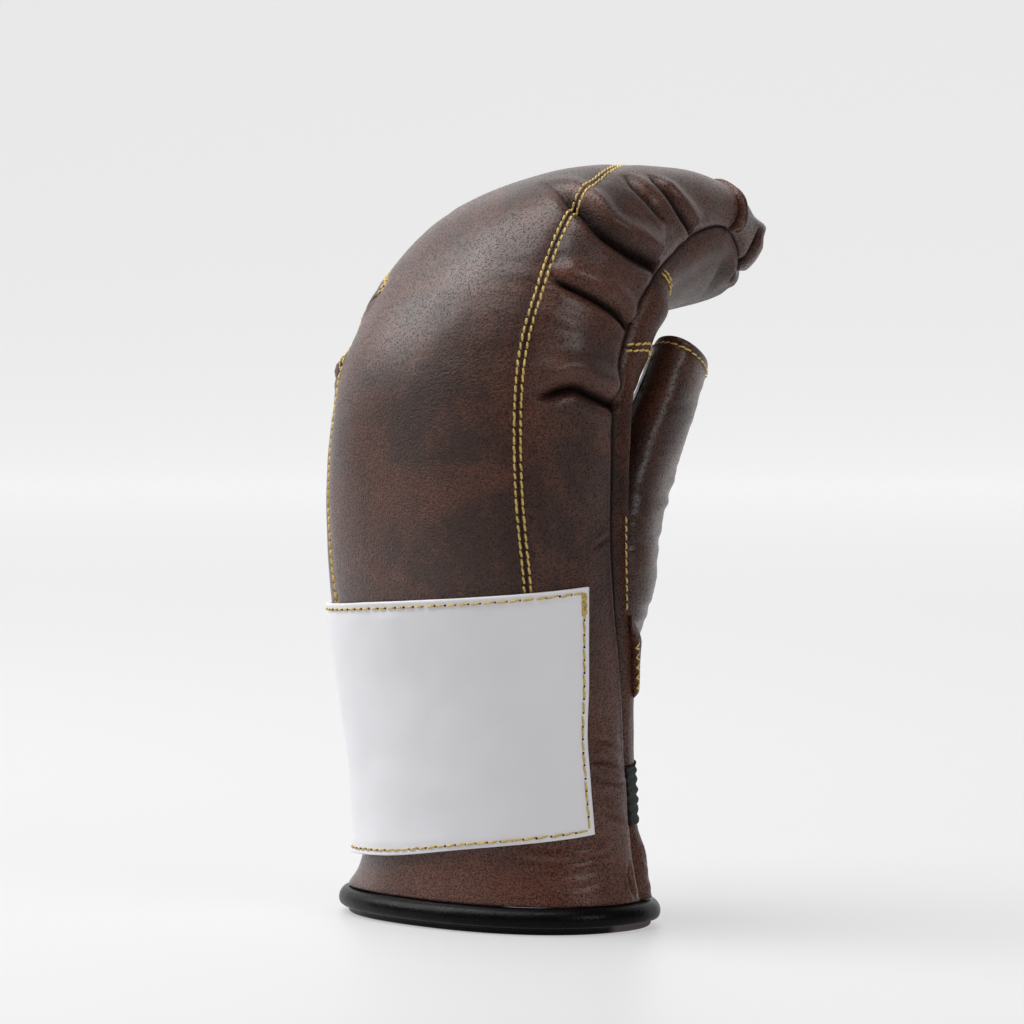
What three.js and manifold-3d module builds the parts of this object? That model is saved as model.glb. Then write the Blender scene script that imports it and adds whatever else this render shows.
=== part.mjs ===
// A padded leather bag glove for the left hand, standing on its cuff.
// The back of the hand faces -Y, the palm faces +Y, the thumb is on the +X side and +Z is up.
// All lengths are in millimetres. The origin is the middle of the bounding box's underside.
import * as THREE from "three";
import { mergeVertices } from "three/addons/utils/BufferGeometryUtils.js";
import Module from "manifold-3d";

const wasm = await Module();
wasm.setup();

// Overall form of the hand part. The spine is its middle line, from the binding to the finger end.
const spineRise = 212; // height that the spine climbs above the cuff binding
const hookReach = 88; // how far the spine bends over towards the palm
const bodyWidth = 113; // outer breadth over the knuckles
const backDepth = 46; // from the spine out to the back of the hand
const palmDepth = 30; // from the spine out to the palm
const knuckleSlope = 0.2; // how much higher the thumb side stands, for each millimetre of breadth
const tipCrown = 13; // how far the middle of the finger end runs past its sides
const backSquareness = 2.3; // power of the rounded outline over the back, where 2 is an ellipse

// Walls
const padThickness = 21; // padding over the knuckles
const sideThickness = 8.5; // padding on the two sides
const leatherThickness = 2.5; // bare leather of the palm and cuff
const gripThickness = 9; // padded roll across the palm
const fingerPadThickness = 17; // padded roll under the fingers
const gap = 0.34; // clearance between two sewn pieces

// Creases and seams
const pleatDepth = 4.6;
const pleatSwell = 1.6; // how far the leather stands proud beside a full pleat
const seamDip = 1.1; // how far a sewn seam draws the leather in
const seamSpread = 3; // degrees round the section over which it does
const edgeRoll = 1.1; // height of the turned edge beside the palm
const edgeRollPlace = 9; // degrees from the palm seam to its crest
const edgeRollSpread = 6;

// Cuff
const bindingHeight = 8.4;
const bindingReach = 4.3; // how far the binding stands out from the leather
const bindingInset = 4.8; // how far it reaches inside
const wristJoint = 46; // from the binding up to where the padded leather starts, behind the label
const palmStart = 42; // from the binding up to the lower edge of the palm leather
const gussetSink = 2.2; // how far the gusset lies in from the outline
const gussetThickness = 1.6;
const elasticHeight = 18;
const elasticThickness = 1.7;

// Label on the back of the cuff
const labelHeight = 81;
const labelRise = 12.6; // from the binding up to its lowest edge
const labelTilt = 8.5; // how much higher its thumb end sits
const labelReach = 80; // degrees to each side of the middle of the back
const labelThickness = 1.2;
const labelClearance = 0.7; // from the leather under it

// Thumb
const thumbFoot = 67; // from the binding up to the hidden foot of the sheath
const thumbLength = 106;
const thumbWidth = 34; // across the flat side of the sheath, outside
const thumbDepth = 21; // through the sheath, outside
const thumbWall = 2;
const thumbTurn = 47; // degrees that the sheath is turned about its own length
const thumbSpread = 0.3186 * bodyWidth; // how far its top stands out sideways from the spine
const thumbStand = 46; // how far its top stands out from the palm side of the spine
const thumbSeam = 7; // leather left beside the hole that lets the thumb into the sheath

const materials = {
  leather: new THREE.MeshStandardMaterial({ color: 0x3d2119, roughness: 0.48, metalness: 0 }),
  binding: new THREE.MeshStandardMaterial({ color: 0x17181a, roughness: 0.4, metalness: 0 }),
  label: new THREE.MeshStandardMaterial({ color: 0xdcdcde, roughness: 0.35, metalness: 0 }),
  elastic: new THREE.MeshStandardMaterial({ color: 0x1a1a1b, roughness: 0.9, metalness: 0 }),
};

// Outline of the hand part, a row for each section from the cuff to the finger end. Each row holds
// shares: rise of spineRise, lean of hookReach, wide of bodyWidth / 2, back of backDepth and palm of
// palmDepth. square is the power of the palm half of the outline.
const sections = [
  { rise: 0.0, lean: 0.0, wide: 0.985, back: 0.79, palm: 1.18, square: 2.2 },
  { rise: 0.075, lean: 0.0, wide: 0.945, back: 0.74, palm: 1.12, square: 2.2 },
  { rise: 0.195, lean: -0.02, wide: 0.946, back: 0.765, palm: 1.06, square: 2.3 },
  { rise: 0.34, lean: -0.05, wide: 0.963, back: 0.825, palm: 1.0, square: 2.6 },
  { rise: 0.48, lean: -0.07, wide: 0.97, back: 0.915, palm: 0.95, square: 3.0 },
  { rise: 0.62, lean: -0.07, wide: 0.971, back: 0.958, palm: 0.918, square: 3.4 },
  { rise: 0.74, lean: -0.045, wide: 0.963, back: 0.966, palm: 0.915, square: 3.6 },
  { rise: 0.823, lean: 0.03, wide: 0.942, back: 0.938, palm: 0.868, square: 3.6 },
  { rise: 0.905, lean: 0.155, wide: 0.901, back: 0.842, palm: 0.8, square: 3.2 },
  { rise: 0.963, lean: 0.333, wide: 0.838, back: 0.655, palm: 0.868, square: 2.8 },
  { rise: 0.993, lean: 0.551, wide: 0.76, back: 0.436, palm: 0.965, square: 2.5 },
  { rise: 1.0, lean: 0.766, wide: 0.684, back: 0.3, palm: 0.835, square: 2.4 },
  { rise: 0.976, lean: 0.953, wide: 0.592, back: 0.19, palm: 0.49, square: 2.3 },
];

// Walls and seams at the same sections: pad is a share of padThickness, side of sideThickness and under
// of fingerPadThickness. seam and little are where the back panel is sewn on, at the thumb and at the
// little finger, and edge is where the palm is, in degrees round from the middle of the back.
const walls = [
  { pad: 0.14, side: 0.32, under: 0, seam: 58, little: 44, edge: 106 },
  { pad: 0.14, side: 0.32, under: 0, seam: 58, little: 44, edge: 105 },
  { pad: 0.2, side: 0.36, under: 0, seam: 60, little: 44, edge: 102.5 },
  { pad: 0.42, side: 0.55, under: 0, seam: 61.5, little: 44, edge: 98.5 },
  { pad: 0.72, side: 0.8, under: 0, seam: 61.5, little: 45, edge: 95 },
  { pad: 0.96, side: 0.95, under: 0, seam: 58.2, little: 48, edge: 94.4 },
  { pad: 1.0, side: 1.0, under: 0, seam: 56.7, little: 49.5, edge: 94.6 },
  { pad: 1.0, side: 1.0, under: 0, seam: 56.4, little: 46, edge: 95.5 },
  { pad: 1.0, side: 0.95, under: 0, seam: 54.6, little: 44, edge: 98.2 },
  { pad: 0.86, side: 0.85, under: 0.33, seam: 50.2, little: 46, edge: 101 },
  { pad: 0.5, side: 0.7, under: 0.7, seam: 43, little: 43, edge: 98.8 },
  { pad: 0.3, side: 0.55, under: 0.7, seam: 42, little: 42, edge: 104 },
  { pad: 0.17, side: 0.42, under: 0.3, seam: 45, little: 45, edge: 132 },
];
const lastSection = sections.length - 1;
const gripStart = 6.7; // section numbers where the palm leather ends and the grip roll starts
const gripEnd = 8.45; // and where the finger pad takes over from it
const slopeStart = 0.55; // shares of spineRise where the knuckle slope starts and how long it takes
const slopeSpan = 0.33;
const crownSpan = 3.2; // sections over which the tip crown grows
const crownBreadth = 0.72; // share of half the breadth at which it has faded out

// Pleats of the two side panels: at is the section number at the palm seam, width is in sections,
// deep is a share of pleatDepth, climb is how many sections the crease rises on its way to the back
// seam, and reach is how much of the way there it goes.
const pleats = [
  { at: 5.85, width: 0.13, deep: 1.0, climb: 0.05, reach: 1.0 },
  { at: 7.0, width: 0.14, deep: 0.7, climb: 0.15, reach: 0.95 },
  { at: 8.2, width: 0.13, deep: 1.0, climb: 0.0, reach: 1.0 },
  { at: 9.2, width: 0.13, deep: 0.9, climb: -0.2, reach: 1.0 },
  { at: 11.05, width: 0.12, deep: 0.8, climb: 0.1, reach: 0.9 },
];
const pleatFade = 0.45; // share of the panel's breadth over which a crease dies out
const swellPlace = 2.3; // in crease widths, from the crease to the swell below it
const swellSpread = 1.3;

// Sections of the thumb sheath, from its foot inside the palm to its open top. x and y are shares of
// thumbSpread and thumbStand, z of thumbLength, wide and deep of thumbWidth and thumbDepth.
const thumbSections = [
  { x: 1.083, y: 0.13, z: 0.0, wide: 0.7, deep: 0.5 },
  { x: 1.083, y: 0.27, z: 0.132, wide: 0.85, deep: 0.67 },
  { x: 1.083, y: 0.4, z: 0.245, wide: 0.98, deep: 0.85 },
  { x: 1.067, y: 0.45, z: 0.377, wide: 1.1, deep: 1.0 },
  { x: 1.036, y: 0.555, z: 0.557, wide: 1.14, deep: 1.05 },
  { x: 1.012, y: 0.745, z: 0.745, wide: 1.08, deep: 1.03 },
  { x: 1.0, y: 1.0, z: 1.0, wide: 1.0, deep: 0.94 },
];
const thumbTop = thumbSections.length - 1;

// The binding's own section: out is a share of bindingReach, or of bindingInset where it is negative,
// and up of bindingHeight. Its rolled edge overhangs a narrower lip with a flat sole.
const bindingSection = [
  { out: -1.0, up: 0.0 },
  { out: 0.1, up: 0.0 },
  { out: 0.25, up: 0.2 },
  { out: 0.72, up: 0.26 },
  { out: 1.0, up: 0.5 },
  { out: 0.86, up: 0.8 },
  { out: 0.4, up: 0.98 },
  { out: -0.2, up: 1.0 },
  { out: -1.0, up: 1.0 },
];

// How finely each surface is divided
const facets = {
  back: 10,
  side: 8,
  under: 12,
  cuff: 22,
  label: 16,
  labelRows: 7,
  binding: 52,
  thumb: 18,
  thumbRows: 13,
};

const cuffTop = bindingHeight + gap;
const halfWidth = bodyWidth / 2;
const radians = THREE.MathUtils.degToRad;
const clamp01 = (x) => Math.min(1, Math.max(0, x));
const smooth = (x) => clamp01(x) ** 2 * (3 - 2 * clamp01(x));
const bell = (x) => Math.exp(-x * x);

function steps(from, to, count) {
  return Array.from({ length: count + 1 }, (_, i) => from + ((to - from) * i) / count);
}

// A column of a table at a fractional row number, on a smooth curve through the rows.
function column(rows, key, t) {
  const i = Math.min(rows.length - 2, Math.max(0, Math.floor(t)));
  const f = t - i;
  const at = (n) => rows[Math.min(rows.length - 1, Math.max(0, n))][key];
  const slopeHere = (at(i + 1) - at(i - 1)) / 2;
  const slopeNext = (at(i + 2) - at(i)) / 2;
  const ease = f * f * (3 - 2 * f);
  const bends = f * (1 - f) ** 2 * slopeHere - f * f * (1 - f) * slopeNext;
  return (1 - ease) * at(i) + ease * at(i + 1) + bends;
}

const seamAngle = (t) => column(walls, "seam", t);
const littleSeamAngle = (t) => column(walls, "little", t);
const edgeAngle = (t) => column(walls, "edge", t);

function spinePoint(t) {
  const y = hookReach * column(sections, "lean", t);
  const z = cuffTop + spineRise * column(sections, "rise", t);
  return new THREE.Vector3(0, y, z);
}

// Tilt of a section: 0 where it lies flat in the cuff, about a quarter turn at the finger end.
function spineTilt(t) {
  const nearby = 0.05;
  const ahead = spinePoint(Math.min(lastSection, t + nearby));
  const behind = spinePoint(Math.max(0, t - nearby));
  return Math.atan2(ahead.y - behind.y, ahead.z - behind.z) * smooth(t - 1);
}

// Distance from the spine to the outline, at an angle in degrees from the middle of the back.
// inset is how far inside the outline the point lies, on the back, palm and sides.
function outlineRadius(t, degrees, inset) {
  const isBack = Math.cos(radians(degrees)) > 0;
  const wide = halfWidth * column(sections, "wide", t) - inset.side;
  const back = backDepth * column(sections, "back", t) - inset.back;
  const palm = palmDepth * column(sections, "palm", t) - inset.palm;
  const power = isBack ? backSquareness : column(sections, "square", t);
  const across = Math.abs(Math.sin(radians(degrees))) / wide;
  const through = Math.abs(Math.cos(radians(degrees))) / (isBack ? back : palm);
  return (across ** power + through ** power) ** (-1 / power);
}

// How far the leather stands in from the plain outline at its pleats, its seams and its turned edge.
function relief(t, degrees) {
  const turned = ((degrees + 180) % 360) - 180;
  const around = Math.abs(turned);
  const seam = turned < 0 ? littleSeamAngle(t) : seamAngle(t);
  const edge = edgeAngle(t);
  const backSeam = bell((around - seam) / seamSpread) / 2;
  const palmSeam = bell((around - edge) / seamSpread);
  let dip = seamDip * (backSeam + palmSeam);
  const crest = (around - edge - edgeRollPlace) / edgeRollSpread;
  if (around > edge) dip -= edgeRoll * smooth(t - 1.5) * bell(crest);
  const share = (around - seam) / (edge - seam);
  if (share < 0 || share > 1) return dip;
  for (const pleat of pleats) {
    const off = (t - pleat.at - pleat.climb * (1 - share)) / pleat.width;
    const fade = pleat.deep * smooth((share - (1 - pleat.reach)) / pleatFade);
    dip += fade * (pleatDepth * bell(off) - pleatSwell * bell((off + swellPlace) / swellSpread));
  }
  return dip;
}

// A point of the hand part: inset inside the outline, and then a dip further in.
function bodyPoint(t, degrees, inset, dip) {
  const radius = outlineRadius(t, degrees, inset) - dip;
  const tilt = spineTilt(t);
  const x = radius * Math.sin(radians(degrees));
  const out = radius * Math.cos(radians(degrees));
  const middle = 1 - (x / halfWidth / crownBreadth) ** 2;
  const crown = tipCrown * smooth((t - lastSection) / crownSpan + 1) * middle;
  const point = spinePoint(t);
  point.x = x;
  point.y += Math.sin(tilt) * crown - Math.cos(tilt) * out;
  point.z += Math.cos(tilt) * crown + Math.sin(tilt) * out;
  const raised = smooth((point.z / spineRise - slopeStart) / slopeSpan);
  point.z += knuckleSlope * x * raised;
  return point;
}

const evenly = (inset) => ({ side: inset, back: inset, palm: inset });

// Thickness of the wall on the palm side: leather, then the grip roll, then the finger pad.
function underWall(t) {
  const grip = Math.sin(Math.PI * clamp01((t - gripStart) / (gripEnd - gripStart)));
  const finger = t > gripEnd ? Math.max(0, column(walls, "under", t)) : 0;
  return leatherThickness + (gripThickness - leatherThickness) * grip + fingerPadThickness * finger;
}

function innerPoint(t, degrees) {
  const inset = {
    side: sideThickness * column(walls, "side", t),
    back: padThickness * column(walls, "pad", t),
    palm: underWall(t),
  };
  return bodyPoint(t, degrees, inset, 0);
}

const outerPoint = (t, degrees) => bodyPoint(t, degrees, evenly(0), relief(t, degrees));

// The angle half a gap to one side of a seam, so that two sewn panels never touch.
function clearAngle(t, degrees, side) {
  const nudge = 0.5;
  const travel = innerPoint(t, degrees + side * nudge).distanceTo(innerPoint(t, degrees));
  return degrees + (side * nudge * gap) / 2 / travel;
}

// Half a gap, counted in sections, at a joint that runs across the spine.
function halfGapAt(t) {
  const nearby = 0.2;
  const length = spinePoint(t + nearby).distanceTo(spinePoint(t - nearby));
  return (gap * nearby) / length;
}

// The section number at a height above the binding, on the straight lower part.
function sectionAt(height) {
  let low = 0;
  let high = 5;
  while (high - low > 1e-6) {
    const middle = (low + high) / 2;
    if (spinePoint(middle).z - cuffTop < height) low = middle;
    else high = middle;
  }
  return low;
}

// A closed mesh from a list of points and triangles, turned so that its faces point out.
function closedMesh(points, triangles) {
  const volume = triangles.reduce((sum, [a, b, c]) => {
    const normal = new THREE.Vector3().crossVectors(points[b], points[c]);
    return sum + points[a].dot(normal);
  }, 0);
  const faces = volume < 0 ? triangles.map(([a, b, c]) => [a, c, b]) : triangles;
  const geometry = new THREE.BufferGeometry().setFromPoints(points);
  geometry.setIndex(faces.flat());
  return geometry;
}

// A sheet with thickness: two grids of points, one over the other, joined round their edges.
function sheetBetween(outer, inner) {
  const rows = outer.length;
  const columns = outer[0].length;
  const index = (layer, r, c) => (layer * rows + r) * columns + c;
  const triangles = [];
  const quad = (a, b, c, d) => triangles.push([a, b, c], [a, c, d]);
  for (let r = 0; r + 1 < rows; r++) {
    for (let c = 0; c + 1 < columns; c++) {
      quad(index(0, r, c), index(0, r, c + 1), index(0, r + 1, c + 1), index(0, r + 1, c));
      quad(index(1, r, c), index(1, r + 1, c), index(1, r + 1, c + 1), index(1, r, c + 1));
    }
    const c = columns - 1;
    quad(index(0, r, 0), index(0, r + 1, 0), index(1, r + 1, 0), index(1, r, 0));
    quad(index(0, r, c), index(1, r, c), index(1, r + 1, c), index(0, r + 1, c));
  }
  for (let c = 0; c + 1 < columns; c++) {
    const r = rows - 1;
    quad(index(0, 0, c), index(1, 0, c), index(1, 0, c + 1), index(0, 0, c + 1));
    quad(index(0, r, c), index(0, r, c + 1), index(1, r, c + 1), index(1, r, c));
  }
  return closedMesh([...outer.flat(), ...inner.flat()], triangles);
}

// A solid through closed rings of points. It is capped at both ends, or it closes on itself.
function solidThrough(rings, closesOnItself = false) {
  const rows = rings.length;
  const columns = rings[0].length;
  const points = rings.flat();
  const index = (r, c) => (r % rows) * columns + (c % columns);
  const triangles = [];
  for (let r = 0; r < (closesOnItself ? rows : rows - 1); r++)
    for (let c = 0; c < columns; c++) {
      triangles.push([index(r, c), index(r, c + 1), index(r + 1, c + 1)]);
      triangles.push([index(r, c), index(r + 1, c + 1), index(r + 1, c)]);
    }
  if (closesOnItself) return closedMesh(points, triangles);
  for (const [r, step] of [[0, 1], [rows - 1, 0]]) {
    const middle = new THREE.Vector3();
    rings[r].forEach((point) => middle.addScaledVector(point, 1 / columns));
    points.push(middle);
    for (let c = 0; c < columns; c++)
      triangles.push([points.length - 1, index(r, c + step), index(r, c + 1 - step)]);
  }
  return closedMesh(points, triangles);
}

function toSolid(geometry) {
  const merged = mergeVertices(geometry);
  const vertProperties = merged.attributes.position.array;
  const triVerts = new Uint32Array(merged.index.array);
  return new wasm.Manifold(new wasm.Mesh({ numProp: 3, vertProperties, triVerts }));
}

function fromSolid(solid) {
  const mesh = solid.getMesh();
  const geometry = new THREE.BufferGeometry();
  geometry.setAttribute("position", new THREE.Float32BufferAttribute(mesh.vertProperties, 3));
  geometry.setIndex(Array.from(mesh.triVerts));
  return geometry;
}

// Every panel takes its rows from one list, so that the facets agree along the seams.
const pleatRows = pleats.flatMap(({ at, width, climb }) =>
  [-1, 0, 1].map((side) => at + climb / 2 + side * width),
);
const gridRows = [...steps(0, 4, 8), ...steps(4, lastSection, 26), ...pleatRows];
gridRows.sort((a, b) => a - b);

function rowsBetween(from, to) {
  const rows = [from];
  const closest = 0.08;
  for (const t of gridRows) if (t > rows.at(-1) + closest && t < to - closest) rows.push(t);
  return [...rows, to];
}

// A panel of the hand part between two seams, as thick as the wall is there.
function panel(rows, columns, fromAngle, toAngle) {
  const angles = rows.map((t) =>
    steps(clearAngle(t, fromAngle(t), 1), clearAngle(t, toAngle(t), -1), columns),
  );
  const grid = (pointAt) => rows.map((t, r) => angles[r].map((degrees) => pointAt(t, degrees)));
  return sheetBetween(grid(outerPoint), grid(innerPoint));
}

// A thin sheet on the palm side of the cuff, its outer face sunk in from the outline.
function cuffSheet(rows, sink, thickness) {
  const grid = (inset) =>
    rows.map((t) => {
      const from = clearAngle(t, edgeAngle(t), 1);
      return steps(from, 360 - from, facets.under).map((a) => bodyPoint(t, a, evenly(inset), 0));
    });
  return sheetBetween(grid(sink), grid(sink + thickness));
}

const joint = sectionAt(wristJoint);
const handRows = rowsBetween(joint + halfGapAt(joint), lastSection);
const palmFoot = sectionAt(palmStart);
const otherSide = (angle) => (t) => 360 - angle(t);

function makeBackPanel() {
  return panel(handRows, facets.back, (t) => -littleSeamAngle(t), seamAngle);
}

function makeThumbSidePanel() {
  return panel(handRows, facets.side, seamAngle, edgeAngle);
}

function makeLittleSidePanel() {
  return panel(handRows, facets.side, otherSide(edgeAngle), otherSide(littleSeamAngle));
}

function makeCuffWall() {
  const rows = rowsBetween(0, joint - halfGapAt(joint));
  return panel(rows, facets.cuff, (t) => -edgeAngle(t), edgeAngle);
}

function makeGripRoll() {
  const rows = rowsBetween(gripStart + halfGapAt(gripStart), gripEnd - halfGapAt(gripEnd));
  return panel(rows, facets.under, edgeAngle, otherSide(edgeAngle));
}

function makeFingerPad() {
  const rows = rowsBetween(gripEnd + halfGapAt(gripEnd), lastSection);
  return panel(rows, facets.under, edgeAngle, otherSide(edgeAngle));
}

function makeGusset() {
  const rows = rowsBetween(0, palmFoot - halfGapAt(palmFoot));
  return cuffSheet(rows, gussetSink, gussetThickness);
}

// The elastic lies on the gusset and pulls it together just below the palm leather.
function makeElastic() {
  const top = palmStart - gap;
  const rows = steps(sectionAt(top - elasticHeight), sectionAt(top), 3);
  return cuffSheet(rows, gussetSink - gap - elasticThickness, elasticThickness);
}

function makeLabel() {
  const grid = (outset) =>
    steps(0, labelHeight, facets.labelRows).map((up) =>
      steps(-labelReach, labelReach, facets.label).map((degrees) => {
        const lift = (labelTilt * (degrees + labelReach)) / (2 * labelReach);
        return bodyPoint(sectionAt(labelRise + lift + up), degrees, evenly(-outset), 0);
      }),
    );
  return sheetBetween(grid(labelClearance + labelThickness), grid(labelClearance));
}

function makeBinding() {
  const rings = steps(0, 360, facets.binding)
    .slice(0, -1)
    .map((degrees) =>
      bindingSection.map(({ out, up }) => {
        const outset = out * (out > 0 ? bindingReach : bindingInset);
        return bodyPoint(0, degrees, evenly(-outset), 0).setZ(up * bindingHeight);
      }),
    );
  return solidThrough(rings, true);
}

function thumbMiddle(v) {
  const x = thumbSpread * column(thumbSections, "x", v);
  const y = thumbStand * column(thumbSections, "y", v);
  const z = cuffTop + thumbFoot + thumbLength * column(thumbSections, "z", v);
  return new THREE.Vector3(x, y, z);
}

// One ring round the sheath, inset from its outside and shifted along its length.
function thumbRing(v, insetAcross, insetThrough, shift = 0) {
  const nearby = 0.1;
  const along = thumbMiddle(Math.min(thumbTop, v + nearby));
  along.sub(thumbMiddle(Math.max(0, v - nearby))).normalize();
  const through = new THREE.Vector3(Math.cos(radians(thumbTurn)), Math.sin(radians(thumbTurn)), 0);
  through.addScaledVector(along, -through.dot(along)).normalize();
  const across = new THREE.Vector3().crossVectors(along, through);
  const halfAcross = (thumbWidth / 2) * column(thumbSections, "wide", v) - insetAcross;
  const halfThrough = (thumbDepth / 2) * column(thumbSections, "deep", v) - insetThrough;
  return steps(0, 2 * Math.PI, facets.thumb)
    .slice(0, -1)
    .map((turn) =>
      thumbMiddle(v)
        .addScaledVector(along, shift)
        .addScaledVector(across, halfAcross * Math.cos(turn))
        .addScaledVector(through, halfThrough * Math.sin(turn)),
    );
}

const thumbRings = (from, insetAcross, insetThrough) =>
  steps(from, thumbTop, facets.thumbRows).map((v) => thumbRing(v, insetAcross, insetThrough));

// The outline of the hand part, a gap larger, as one solid.
function makeHandVolume() {
  const rings = steps(2, lastSection, 30).map((t) =>
    steps(0, 360, 40)
      .slice(0, -1)
      .map((degrees) => bodyPoint(t, degrees, evenly(-gap), Math.min(0, relief(t, degrees)))),
  );
  return toSolid(solidThrough(rings));
}

// The sheath is hollow and open at the top. The hand part cuts its foot away.
function makeThumbSheath() {
  const outside = toSolid(solidThrough(thumbRings(0, 0, 0)));
  const pastTheRim = thumbRing(thumbTop, thumbWall, thumbWall, thumbDepth / 3);
  const hollow = toSolid(solidThrough([...thumbRings(0, thumbWall, thumbWall), pastTheRim]));
  return fromSolid(outside.subtract(hollow).subtract(makeHandVolume()));
}

// The palm leather has a hole that lets the thumb into its sheath.
function makePalmPanel() {
  const rows = rowsBetween(palmFoot, gripStart - halfGapAt(gripStart));
  const blank = toSolid(panel(rows, facets.under, edgeAngle, otherSide(edgeAngle)));
  const hole = toSolid(solidThrough(thumbRings(1, thumbWall + thumbSeam, thumbWall + gap)));
  return fromSolid(blank.subtract(hole));
}

const pieces = [
  ["back_panel", makeBackPanel(), materials.leather],
  ["side_panel_thumb", makeThumbSidePanel(), materials.leather],
  ["side_panel_little", makeLittleSidePanel(), materials.leather],
  ["cuff_wall", makeCuffWall(), materials.leather],
  ["palm_panel", makePalmPanel(), materials.leather],
  ["grip_roll", makeGripRoll(), materials.leather],
  ["finger_pad", makeFingerPad(), materials.leather],
  ["thumb_sheath", makeThumbSheath(), materials.leather],
  ["cuff_gusset", makeGusset(), materials.leather],
  ["cuff_elastic", makeElastic(), materials.elastic],
  ["cuff_binding", makeBinding(), materials.binding],
  ["cuff_label", makeLabel(), materials.label],
];
const body = new THREE.Group();
for (const [name, geometry, material] of pieces) {
  const mesh = new THREE.Mesh(geometry, material);
  mesh.name = name;
  body.add(mesh);
}
const bounds = new THREE.Box3().setFromObject(body);
const middle = bounds.getCenter(new THREE.Vector3());
body.position.set(-middle.x, -middle.y, -bounds.min.z);
const glove = new THREE.Group();
glove.add(body);

export default glove;
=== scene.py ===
"""Looks of a padded leather bag glove that stands upright on its cuff.

The back of the hand faces -Y, the palm faces +Y, the thumb is on the +X side and +Z is up. The leather
is worked out in millimetres on the same form as the CAD solids, and each mesh is then made in metres.
t is the section number along the hand, from 0 at the cuff to 12 at the finger end. An angle is in degrees
round from the middle of the back, towards the thumb.
"""

import math

import bmesh
import bpy
import numpy as np
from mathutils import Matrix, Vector


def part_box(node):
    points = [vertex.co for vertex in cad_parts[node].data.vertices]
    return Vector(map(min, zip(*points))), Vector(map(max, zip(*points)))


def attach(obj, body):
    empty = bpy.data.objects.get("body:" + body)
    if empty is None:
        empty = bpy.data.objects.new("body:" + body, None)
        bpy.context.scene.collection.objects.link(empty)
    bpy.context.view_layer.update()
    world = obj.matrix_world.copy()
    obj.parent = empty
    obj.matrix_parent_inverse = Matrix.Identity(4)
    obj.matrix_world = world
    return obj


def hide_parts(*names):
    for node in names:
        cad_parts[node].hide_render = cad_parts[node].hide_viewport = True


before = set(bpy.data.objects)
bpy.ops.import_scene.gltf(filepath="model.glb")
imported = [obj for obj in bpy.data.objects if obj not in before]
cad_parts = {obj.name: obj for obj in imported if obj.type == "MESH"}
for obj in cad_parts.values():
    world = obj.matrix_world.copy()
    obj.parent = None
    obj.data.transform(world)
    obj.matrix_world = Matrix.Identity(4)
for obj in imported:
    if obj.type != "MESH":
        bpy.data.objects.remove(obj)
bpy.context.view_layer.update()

bl_info = {
    "name": "Bag Glove",
    "version": (1, 0, 0),
    "blender": (4, 5, 0),
    "location": "3D View > Sidebar > Bag Glove",
    "description": "Builds a padded leather bag glove and a studio for it",
    "category": "Object",
}

SPINE_RISE = 212.0
HOOK_REACH = 88.0
HALF_WIDTH = 56.5
BACK_DEPTH = 46.0
PALM_DEPTH = 30.0
KNUCKLE_SLOPE = 0.2
TIP_CROWN = 13.0
BACK_SQUARENESS = 2.3
PAD = 21.0
SIDE = 8.5
LEATHER = 2.5
GRIP = 9.0
FINGER_PAD = 17.0
BINDING_HEIGHT = 8.4
BINDING_REACH = 4.3
BINDING_INSET = 4.8
CUFF_TOP = 8.74
WRIST_JOINT = 46.0
PALM_START = 42.0
GUSSET_SINK = 2.2
ELASTIC_HEIGHT = 18.0
GRIP_START = 6.7
GRIP_END = 8.45
LAST = 12

# The hand part at each section, as shares: rise, lean, wide, back, palm, and the palm outline's power.
SECTIONS = np.array(
    [
        (0.0, 0.0, 0.985, 0.79, 1.18, 2.2),
        (0.075, 0.0, 0.945, 0.74, 1.12, 2.2),
        (0.195, -0.02, 0.946, 0.765, 1.06, 2.3),
        (0.34, -0.05, 0.963, 0.825, 1.0, 2.6),
        (0.48, -0.07, 0.97, 0.915, 0.95, 3.0),
        (0.62, -0.07, 0.971, 0.958, 0.918, 3.4),
        (0.74, -0.045, 0.963, 0.966, 0.915, 3.6),
        (0.823, 0.03, 0.942, 0.938, 0.868, 3.6),
        (0.905, 0.155, 0.901, 0.842, 0.8, 3.2),
        (0.963, 0.333, 0.838, 0.655, 0.868, 2.8),
        (0.993, 0.551, 0.76, 0.436, 0.965, 2.5),
        (1.0, 0.766, 0.684, 0.3, 0.835, 2.4),
        (0.976, 0.953, 0.592, 0.19, 0.49, 2.3),
    ]
)
# The walls at each section: shares of the back pad, the side pad and the finger pad, then the angles of
# the back seam at the thumb, the back seam at the little finger and the palm seam.
WALLS = np.array(
    [
        (0.14, 0.32, 0.0, 58.0, 44.0, 104.5),
        (0.14, 0.32, 0.0, 58.0, 44.0, 103.0),
        (0.2, 0.36, 0.0, 60.0, 44.0, 100.5),
        (0.42, 0.55, 0.0, 61.5, 44.5, 98.5),
        (0.72, 0.8, 0.0, 61.5, 46.0, 95.8),
        (0.96, 0.95, 0.0, 58.2, 47.5, 95.4),
        (1.0, 1.0, 0.0, 56.7, 47.0, 94.6),
        (1.0, 1.0, 0.0, 56.4, 47.0, 95.5),
        (1.0, 0.95, 0.0, 54.6, 47.0, 98.2),
        (0.86, 0.85, 0.33, 50.0, 46.0, 101.0),
        (0.5, 0.7, 0.7, 37.0, 43.0, 98.8),
        (0.3, 0.55, 0.7, 38.0, 42.0, 101.0),
        (0.17, 0.42, 0.3, 45.0, 45.0, 120.0),
    ]
)
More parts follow.
